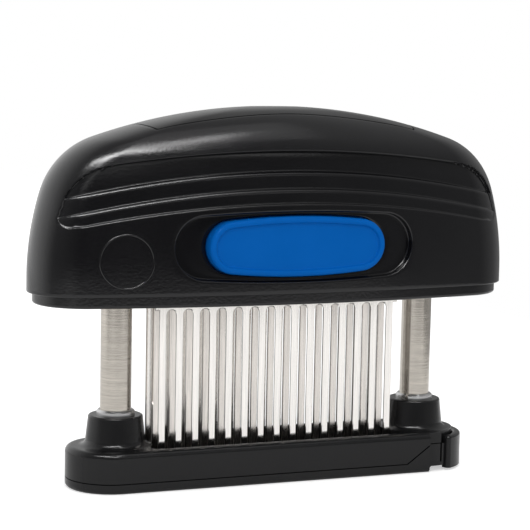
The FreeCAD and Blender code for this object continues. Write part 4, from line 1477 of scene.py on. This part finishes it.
        scoop, hole, lip = self.scoop, self.hole, self.scoop_lip
        fillet, deep = self.scoop_fillet, self.scoop_depth
        steps = [on_skin(scoop, lip, 1 / left, 0.0) for left in (4, 3, 2, 1)]
        steps += [on_skin(scoop, lip * sin_left, 1, lip * cos_left)
                  for sin_left, cos_left in quarter(self.EDGE_STEPS)]
        steps += [on_skin(scoop, -fillet * cos_left, 1, deep - fillet * sin_left)
                  for sin_left, cos_left in quarter(self.EDGE_STEPS, 0)]
        wide, bend = self.hole_round
        steps += [on_skin(hole, wide, 1 / left, deep) for left in (3, 2, 1)]
        steps += [on_skin(hole, bend, 1, deep + bend), on_skin(hole, 0.0, 1, deep + wide)]
        steps.append(on_outline(hole, 0.0, fore * (self.bay_face - self.hole_past)))
        for step in steps:
            loop = extrude_loop(work, loop, step)
        close_loop(work, loop)

    def rooms(self, material: Material) -> list[Piece]:
        """Closed tools for the hood's inside rooms.

        Args:
            material: any finish, for the cut faces.

        Returns:
            Main room, button bay and upper tunnel.
        """
        below = self.edge - 1
        main = self.tube(self.ROOM_SIDES, [self.room_rule(level, level > self.hold_level)
                                           for level in (below, *self.ROOM_LEVELS)])
        bay = bmesh.new()
        add_block(bay, (2 * self.bay_half, 2 * self.bay_face, self.bay_top - below),
                  (0.0, 0.0, (self.bay_top + below) / 2))
        tunnel_rules = [self.tunnel_rule(level, 1.0) for level in (below, *self.TUNNEL_LEVELS)]
        tunnel_rules += [self.tunnel_rule(None, share) for share in self.ROOF_SHARES]
        tunnel = self.tube(self.TUNNEL_SIDES, tunnel_rules)
        return [make_piece(name, work, material) for name, work in
                (("main_room", main), ("button_bay", bay), ("upper_tunnel", tunnel))]

    def tube(self, count: int, rules: list[Rule]) -> Mesh:
        """Closed tube from a circle that is extruded through placing rules.

        Args:
            count: number of sides.
            rules: rule of each ring, in order.

        Returns:
            The tube's mesh.
        """
        work = bmesh.new()
        bmesh.ops.create_circle(work, segments=count, radius=1.0)
        turned = {corner: corner.co.copy() for corner in work.verts}
        loop = list(work.edges)
        close_loop(work, loop)
        for corner in turned:
            corner.co = rules[0](turned[corner])
        for rule in rules[1:]:
            made = bmesh.ops.extrude_edge_only(work, edges=loop)["geom"]
            corners = [item for item in made if isinstance(item, Corner)]
            olds = {tuple(corner.co): turned[corner] for corner in turned}
            turned = {corner: olds[tuple(corner.co)] for corner in corners}
            loop = [item for item in made if isinstance(item, Edge)
                    and item.verts[0] in turned and item.verts[1] in turned]
            for corner, way in turned.items():
                corner.co = rule(way)
        close_loop(work, loop)
        return work

    @staticmethod
    def toward(way: Vector) -> Station:
        """Station of an oval that belongs to a direction.

        Args:
            way: direction from the middle.

        Returns:
            The station.
        """
        turn = math.atan2(abs(way.x), abs(way.y)) / (math.pi / 2)
        share = turn / SIDE_PART if turn < SIDE_PART else 1 + (turn - SIDE_PART) / (1 - SIDE_PART)
        return Station(math.copysign(share, way.x), math.copysign(1.0, way.y))

    def room_rule(self, level: float, held: bool) -> Rule:
        """Placing rule of the main room at a level, held back behind the button windows or not.

        Args:
            level: height of the ring.
            held: whether it keeps behind the button windows.

        Returns:
            The rule.
        """
        def place(way: Vector) -> Vector:
            """Corner of the room in a direction.

            Args:
                way: direction from the middle.

            Returns:
                The corner.
            """
            x, y = self.oval(level + self.wall, self.wall).point(self.toward(way))
            if held and abs(x) < self.hold_half:
                y = math.copysign(min(abs(y), self.bay_face), y)
            return Vector((x, y, level))
        return place

    def tunnel_rule(self, level: float | None, share: float) -> Rule:
        """Placing rule of the upper tunnel at a level, or under the skin when there is none.

        Args:
            level: height of the ring; None for under the skin.
            share: share of the tunnel's width.

        Returns:
            The rule.
        """
        def place(way: Vector) -> Vector:
            """Corner of the tunnel in a direction.

            Args:
                way: direction from the middle.

            Returns:
                The corner.
            """
            x, y = self.tunnel.point(self.toward(way))
            y *= share
            top = self.height(x, y) - self.roof
            return Vector((x, y, top if level is None else min(level, top)))
        return place

    def in_scoop(self, place: Vector) -> bool:
        """Whether a place is in a button's scoop or hole, under the skin.

        Args:
            place: the place, in millimetres.

        Returns:
            Whether it is.
        """
        across, up = self.scoop.at(place.x, place.z, 0.0)
        level = self.scoop.level
        inside = math.hypot(place.x, place.z - level) < math.hypot(across, up - level)
        return inside and self.bay_face + 0.2 < abs(place.y) < self.skin(place.x, place.z) - 1.0

    def build_shell(self, material: Material, smooth: Material) -> Piece:
        """Hood shell with its rooms cut out.

        Args:
            material: finish of the skin.
            smooth: finish of the scoops round the buttons.

        Returns:
            The shell.
        """
        shell = make_piece("hood_skin", self.shell(), material)
        subtract(shell, self.rooms(material))
        shell.data.materials.append(smooth)
        for side in shell.data.polygons:
            if self.in_scoop(side.center / MM):
                side.material_index = 1
        hand_over(shell, "hood", "black_plastic", "hood_shell")
        return shell

    def build_mark(self, material: Material) -> Piece:
        """Thin raised ring, left bare, on the front of the hood.

        Args:
            material: finish of the ring.

        Returns:
            The ring.
        """
        across, level, radius = self.mark
        work = bmesh.new()
        bmesh.ops.create_circle(work, segments=self.MARK_SIDES, radius=1.0)
        face_front(work, work.verts)
        first = loop = list(work.edges)

        def rule(outward: float, proud: float) -> Rule:
            """Placing rule of one line round the ring.

            Args:
                outward: distance out from the ring's middle line.
                proud: height over the skin.

            Returns:
                The rule.
            """
            def place(corner: Vector) -> Vector:
                """New place of a corner.

                Args:
                    corner: old place.

                Returns:
                    The new place.
                """
                dx, dz = corner.x - across, corner.z - level
                scale = (radius + outward) / math.hypot(dx, dz)
                x, z = across + dx * scale, level + dz * scale
                return Vector((x, -(self.skin(x, z) + proud), z))
            return place

        move(work, work.verts, across, 0.0, level)
        for corner in work.verts:
            corner.co = rule(*self.MARK_SECTION[0])(corner.co)
        for outward, proud in self.MARK_SECTION[1:]:
            loop = extrude_loop(work, loop, rule(outward, proud))
        bmesh.ops.bridge_loops(work, edges=first + loop)
        ring = make_piece("front_ring_mark", work, material, self.MARK_CREASE)
        hand_over(ring, "hood", "black_plastic")
        return ring

    def build(self, finishes: Finishes) -> None:
        """Make and dress the hood's pieces.

        Args:
            finishes: the tool's finishes.
        """
        self.build_shell(finishes["black_satin_plastic"], finishes["black_scoop_plastic"])
        self.build_mark(finishes["black_satin_plastic"])
        dress("palm_insert", finishes["black_smooth_plastic"])


# ---- Push buttons ----


@dataclass
class PushButton:
    """Blue push button: soft raised rim round a sunken face, hidden flange and pegs."""

    side: Side
    outline: Bowed = Bowed(28.6, 9.15, 8.0, 74.4)
    sides: int = 96
    long_cuts: int = 24
    face: float = 21.9
    rim: float = 2.3
    crest: float = 1.25
    sink: float = 0.85
    slope: float = 0.6
    flange: Triple = (1.4, 14.5, 15.7)
    flange_round: float = 0.2
    steps: int = 8
    middle: float = 1.2
    crease: float = 50.0
    peg_sides: int = 24
    hollow: Pair = (2.0, 19.2)
    peg: tuple[float, float, Pair] = (14.5, 2.5, (14.5, 20.0))

    def profile(self) -> list[Pair]:
        """Growth and reach of each line, from the hollow's floor round to the middle of the face.

        Returns:
            The lines, in order.
        """
        wide, back, front = self.flange
        inner, floor = self.hollow
        level = self.face - self.sink
        bend = self.flange_round
        lines = [(-inner, floor), (-inner, back), (wide - bend, back), (wide, back + bend),
                 (wide, front), (0.0, front), (0.0, self.face - self.crest)]
        lines += [(-self.crest * cos_left, self.face - self.crest * sin_left)
                  for sin_left, cos_left in quarter(self.steps)]
        lines += [(-self.rim + self.slope * (1 - share), self.face - self.sink * ease(share))
                  for share in shares(self.steps)]
        inward = (-self.rim - 1.0, -self.rim - 3.0, self.middle - self.outline.height)
        return lines + [(growth, level) for growth in inward]

    def build(self, finishes: Finishes) -> Piece:
        """Make and dress the button.

        Args:
            finishes: the tool's finishes.

        Returns:
            The button.
        """
        fore = self.side.value
        work = bmesh.new()
        bmesh.ops.create_circle(work, segments=self.sides, radius=self.outline.end)
        half_step = Matrix.Rotation(math.pi / self.sides, 3, "Z")
        upright = Matrix.Rotation(math.radians(90), 3, "X")
        bmesh.ops.rotate(work, matrix=upright @ half_step, verts=work.verts)
        for corner in work.verts:
            corner.co.x += math.copysign(self.outline.length - self.outline.end, corner.co.x)
            corner.co.z += self.outline.level
        long_edges = [edge for edge in work.edges if edge.calc_length() > self.outline.end]
        bmesh.ops.subdivide_edges(work, edges=long_edges, cuts=self.long_cuts)

        rules = [on_outline(self.outline, growth, fore * reach) for growth, reach in self.profile()]
        loop = list(work.edges)
        close_loop(work, loop)
        for corner in work.verts:
            corner.co = rules[0](corner.co)
        for rule in rules[1:]:
            loop = extrude_loop(work, loop, rule)
        close_loop(work, loop)
        self.add_pegs(work, fore)
        name = self.side.name.lower()
        button = make_piece(f"{name}_push_button", work, finishes["blue_gloss_plastic"],
                            self.crease)
        hand_over(button, f"{name}_release", "blue_plastic", f"{name}_button")
        dress(f"{name}_latch", finishes["black_plain_plastic"])
        return button

    def add_pegs(self, work: Mesh, fore: float) -> None:
        """Add the two pegs that carry the latch.

        Args:
            work: mesh being built.
            fore: -1 at the front, 1 at the rear.
        """
        across, radius, (low, high) = self.peg
        for way in (-1.0, 1.0):
            middle = (way * across, fore * (high + low) / 2, self.outline.level)
            add_pin(work, radius, high - low, middle, self.peg_sides)


# ---- Knives, columns and base ----


@dataclass
class KnifeComb:
    """Stamped comb: a band above, a row of ground knives with chamfered edges below."""

    row: str
    depth: float
    count: int = 15
    pitch: float = 5.41
    width: float = 2.15
    sheet: float = 0.9
    tip: float = 4.3
    root: float = 54.3
    top: float = 74.0
    length: float = 80.8
    slant: float = 1.5
    grind: float = 4.0
    keen: float = 0.12
    chamfer: float = 0.2
    past: float = 2.0
    round_sides: int = 32
    crease: float = 20.0
    holes: tuple[tuple[float, ...], float, float] = ((-26.0, 0.0, 26.0), 68.0, 1.55)

    def slots(self) -> Mesh:
        """Round-topped slots between the knives, and the notches beside the outer two.

        Returns:
            Mesh of the tools that cut them.
        """
        radius = (self.pitch - self.width) / 2
        first = -(self.count - 2) / 2 * self.pitch
        work = bmesh.new()
        bmesh.ops.create_circle(work, segments=self.round_sides, radius=radius)
        face_front(work, work.verts)
        for corner in work.verts:
            if corner.co.z < -NEAR:
                corner.co.x = math.copysign(radius, corner.co.x)
                corner.co.z = self.tip - self.past - self.root + radius
        bmesh.ops.remove_doubles(work, verts=work.verts, dist=1e-4)
        move(work, work.verts, first, -self.sheet, self.root - radius)
        loop = list(work.edges)
        close_loop(work, loop)
        through = Vector((0.0, 2 * self.sheet, 0.0))
        close_loop(work, extrude_loop(work, loop, lambda place: place + through))
        bmesh.ops.spin(work, geom=work.verts[:] + work.edges[:] + work.faces[:],
                       axis=(0, 0, 1), cent=(0, 0, 0), dvec=(self.pitch, 0.0, 0.0), angle=0.0,
                       steps=self.count - 2, use_duplicate=True)
        outer = (self.count - 1) / 2 * self.pitch + self.width / 2
        low, high, half = self.tip - self.past, self.root, self.past
        for way in (-1.0, 1.0):
            add_block(work, (2 * half, 2 * self.sheet, high - low),
                      (way * (outer + half), 0.0, (high + low) / 2))
        return work

    def bolt_holes(self) -> Mesh:
        """Round tools for the bolt holes.

        Returns:
            Mesh of the tools.
        """
        places, level, radius = self.holes
        work = bmesh.new()
        for across in places:
            add_pin(work, radius, 2 * self.sheet, (across, 0.0, level), self.round_sides)
        return work

    def grind_knives(self, comb: Piece) -> None:
        """Slant and grind the knives' tips, chamfer their edges and move the comb to its row.

        Args:
            comb: comb with its slots cut, centred on the middle plane.
        """
        work = bmesh.new()
        work.from_mesh(comb.data)
        bmesh.ops.scale(work, vec=(1 / MM,) * 3, verts=work.verts)
        line = self.tip + self.grind
        bmesh.ops.bisect_plane(work, geom=work.verts[:] + work.edges[:] + work.faces[:],
                               plane_co=(0, 0, line), plane_no=(0, 0, 1), dist=1e-5)
        for corner in work.verts:
            if corner.co.z < self.tip + NEAR:
                right = round(corner.co.x / self.pitch) * self.pitch + self.width / 2
                corner.co.z += self.slant * (right - corner.co.x) / self.width
            if corner.co.z < line - NEAR and corner.co.y > 0:
                ground = 1 - (corner.co.z - self.tip) / self.grind
                corner.co.y -= (self.sheet - self.keen) * ground
        edges = [edge for edge in work.edges if self.is_knife_edge(edge, line)]
        bmesh.ops.bevel(work, geom=edges, offset=self.chamfer, offset_type="OFFSET", affect="EDGES",
                        segments=1, profile=0.5, material=-1)
        bmesh.ops.scale(work, vec=(MM,) * 3, verts=work.verts)
        move(work, work.verts, 0.0, self.depth * MM, 0.0)
        for side in work.faces:
            side.smooth = True
        work.to_mesh(comb.data)
        work.free()
        comb.data.set_sharp_from_angle(angle=math.radians(self.crease))

    def is_knife_edge(self, edge: Edge, line: float) -> bool:
        """Whether an edge runs along a knife or round a slot's top, above the ground line.

        Args:
            edge: edge to judge.
            line: level that the grinding starts at.

        Returns:
            Whether it is one.
        """
        start, end = (corner.co for corner in edge.verts)
        inside = all(line - NEAR < place.z < self.root + NEAR for place in (start, end))
        flat = abs(start.y - end.y) < NEAR
        return inside and flat and len(edge.link_faces) == 2 and edge.calc_face_angle() > 1.0

    def build(self, steel: Material, sheared_and_shaded: Material) -> Piece:
        """Make the comb.

        Args:
            steel: finish of the sheet.
            sheared_and_shaded: near-black finish of the edges that the stamping tool left, partly
                their duller sheared finish and partly painted shade inside the slots.

        Returns:
            The comb.
        """
        blank = bmesh.new()
        add_block(blank, (self.length, self.sheet, self.top - self.tip),
                  (0.0, 0.0, (self.top + self.tip) / 2))
        comb = make_piece(f"{self.row}_knife_comb", blank, steel)
        tools = (("knife_slots", self.slots()), ("bolt_holes", self.bolt_holes()))
        subtract(comb, [make_piece(name, work, steel) for name, work in tools])
        self.grind_knives(comb)
        # Faces across the sheet take the near-black finish: partly the duller sheared edge, partly
        # painted shade in the slots.
        comb.data.materials.append(sheared_and_shaded)
        for side in comb.data.polygons:
            if abs(side.normal.y) < 0.5:
                side.material_index = 1
        hand_over(comb, "hood", "knife_steel", f"{self.row}_comb")
        return comb


@dataclass
class KnifeCartridge:
    """Frame with three rows of knives, their spacers, bolts and nuts."""

    rows: tuple[tuple[str, float, str], ...] = (
        ("front", -6.19, "stamped_knife_steel"),
        # The middle row takes the darker copy of the steel, as painted shade between the rows.
        ("middle", 0.0, "inner_knife_steel"),
        ("rear", 6.19, "stamped_knife_steel"),
    )

    def build(self, finishes: Finishes) -> None:
        """Make the knives and dress the cartridge's other pieces.

        Args:
            finishes: the tool's finishes.
        """
        dress("cartridge_frame", finishes["black_satin_plastic"])
        for row, depth, steel in self.rows:
            KnifeComb(row, depth).build(finishes[steel], finishes["sheared_edge_steel"])
        for node in ("front_spacer", "rear_spacer"):
            dress(node, finishes["black_plain_plastic"])
        for node in ("cartridge_bolts", "cartridge_nuts"):
            dress(node, finishes["turned_steel"])


@dataclass
class CoilSpring:
    """Compression spring inside a column; the real one is squeezed as the hood comes down, this
    mesh keeps one shape.
    """

    side: str
    turns: int = 9
    turn_steps: int = 28
    sides: int = 14
    wire: float = 1.0
    coil: float = 2.7
    ends: Pair = (14.0, 64.0)
    stroke: float = 32.0

    def build(self, finishes: Finishes) -> Piece:
        """Make and dress the spring.

        Args:
            finishes: the tool's finishes.

        Returns:
            The spring.
        """
        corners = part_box(f"{self.side}_spring")
        across = (corners[0][0] + corners[1][0]) / 2 / MM
        low, high = self.ends
        steps = self.turns * self.turn_steps
        work = bmesh.new()
        bmesh.ops.create_circle(work, segments=self.sides, radius=self.wire / 2)
        face_front(work, work.verts)
        move(work, work.verts, self.coil, 0.0, low + self.wire / 2)
        climb = (0.0, 0.0, (high - low - self.wire) / steps)
        bmesh.ops.spin(work, geom=work.verts[:] + work.edges[:], axis=(0, 0, 1), cent=(0, 0, 0),
                       dvec=climb, angle=math.tau * self.turns, steps=steps,
                       use_duplicate=False)
        for above in (False, True):
            close_loop(work, [edge for edge in work.edges if edge.is_boundary
                              and (edge.verts[0].co.z > (low + high) / 2) == above])
        move(work, work.verts, across, 0.0, 0.0)
        spring = make_piece(f"{self.side}_coil_spring", work, finishes["drawn_wire_steel"])
        hand_over(spring, "base", "spring_steel", f"{self.side}_spring")
        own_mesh(spring)
        return spring


@dataclass
class Column:
    """Guide column with its collar, clip, spring, plugs and bush."""

    side: str

    def build(self, finishes: Finishes) -> None:
        """Dress the column's pieces.

        Args:
            finishes: the tool's finishes.
        """
        plan = {
            "column": "ground_column_steel",
            "collar": "ring_spring_steel",
            "top_clip": "ring_spring_steel",
            "foot_plug": "turned_steel",
            "plunger": "turned_steel",
            "guide_bush": "white_bush_plastic",
        }
        for piece, finish in plan.items():
            dress(f"{self.side}_{piece}", finishes[finish])
        CoilSpring(self.side).build(finishes)


@dataclass
class Base:
    """Base frame with its strip plate and screws."""

    def build(self, finishes: Finishes) -> None:
        """Dress the base's pieces.

        Args:
            finishes: the tool's finishes.
        """
        dress("base_frame", finishes["black_base_plastic"])
        dress("strip_plate", finishes["black_base_plastic"])
        dress("foot_screws", finishes["turned_steel"])


# ---- The whole tool ----


def write_sizes() -> None:
    """Bring the view layer up to date; no sizes are written."""
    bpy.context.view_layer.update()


def main() -> None:
    """Build the studio and the tool, one sub-assembly after another."""
    logging.basicConfig(level=logging.INFO, format="%(name)s: %(message)s")
    Studio().build()
    finishes = Finishes(Effects.build())
    Hood().build(finishes)
    for side in Side:
        PushButton(side).build(finishes)
    KnifeCartridge().build(finishes)
    for side in ("left", "right"):
        Column(side).build(finishes)
    Base().build(finishes)
    write_sizes()


if __name__ == "__main__":
    main()
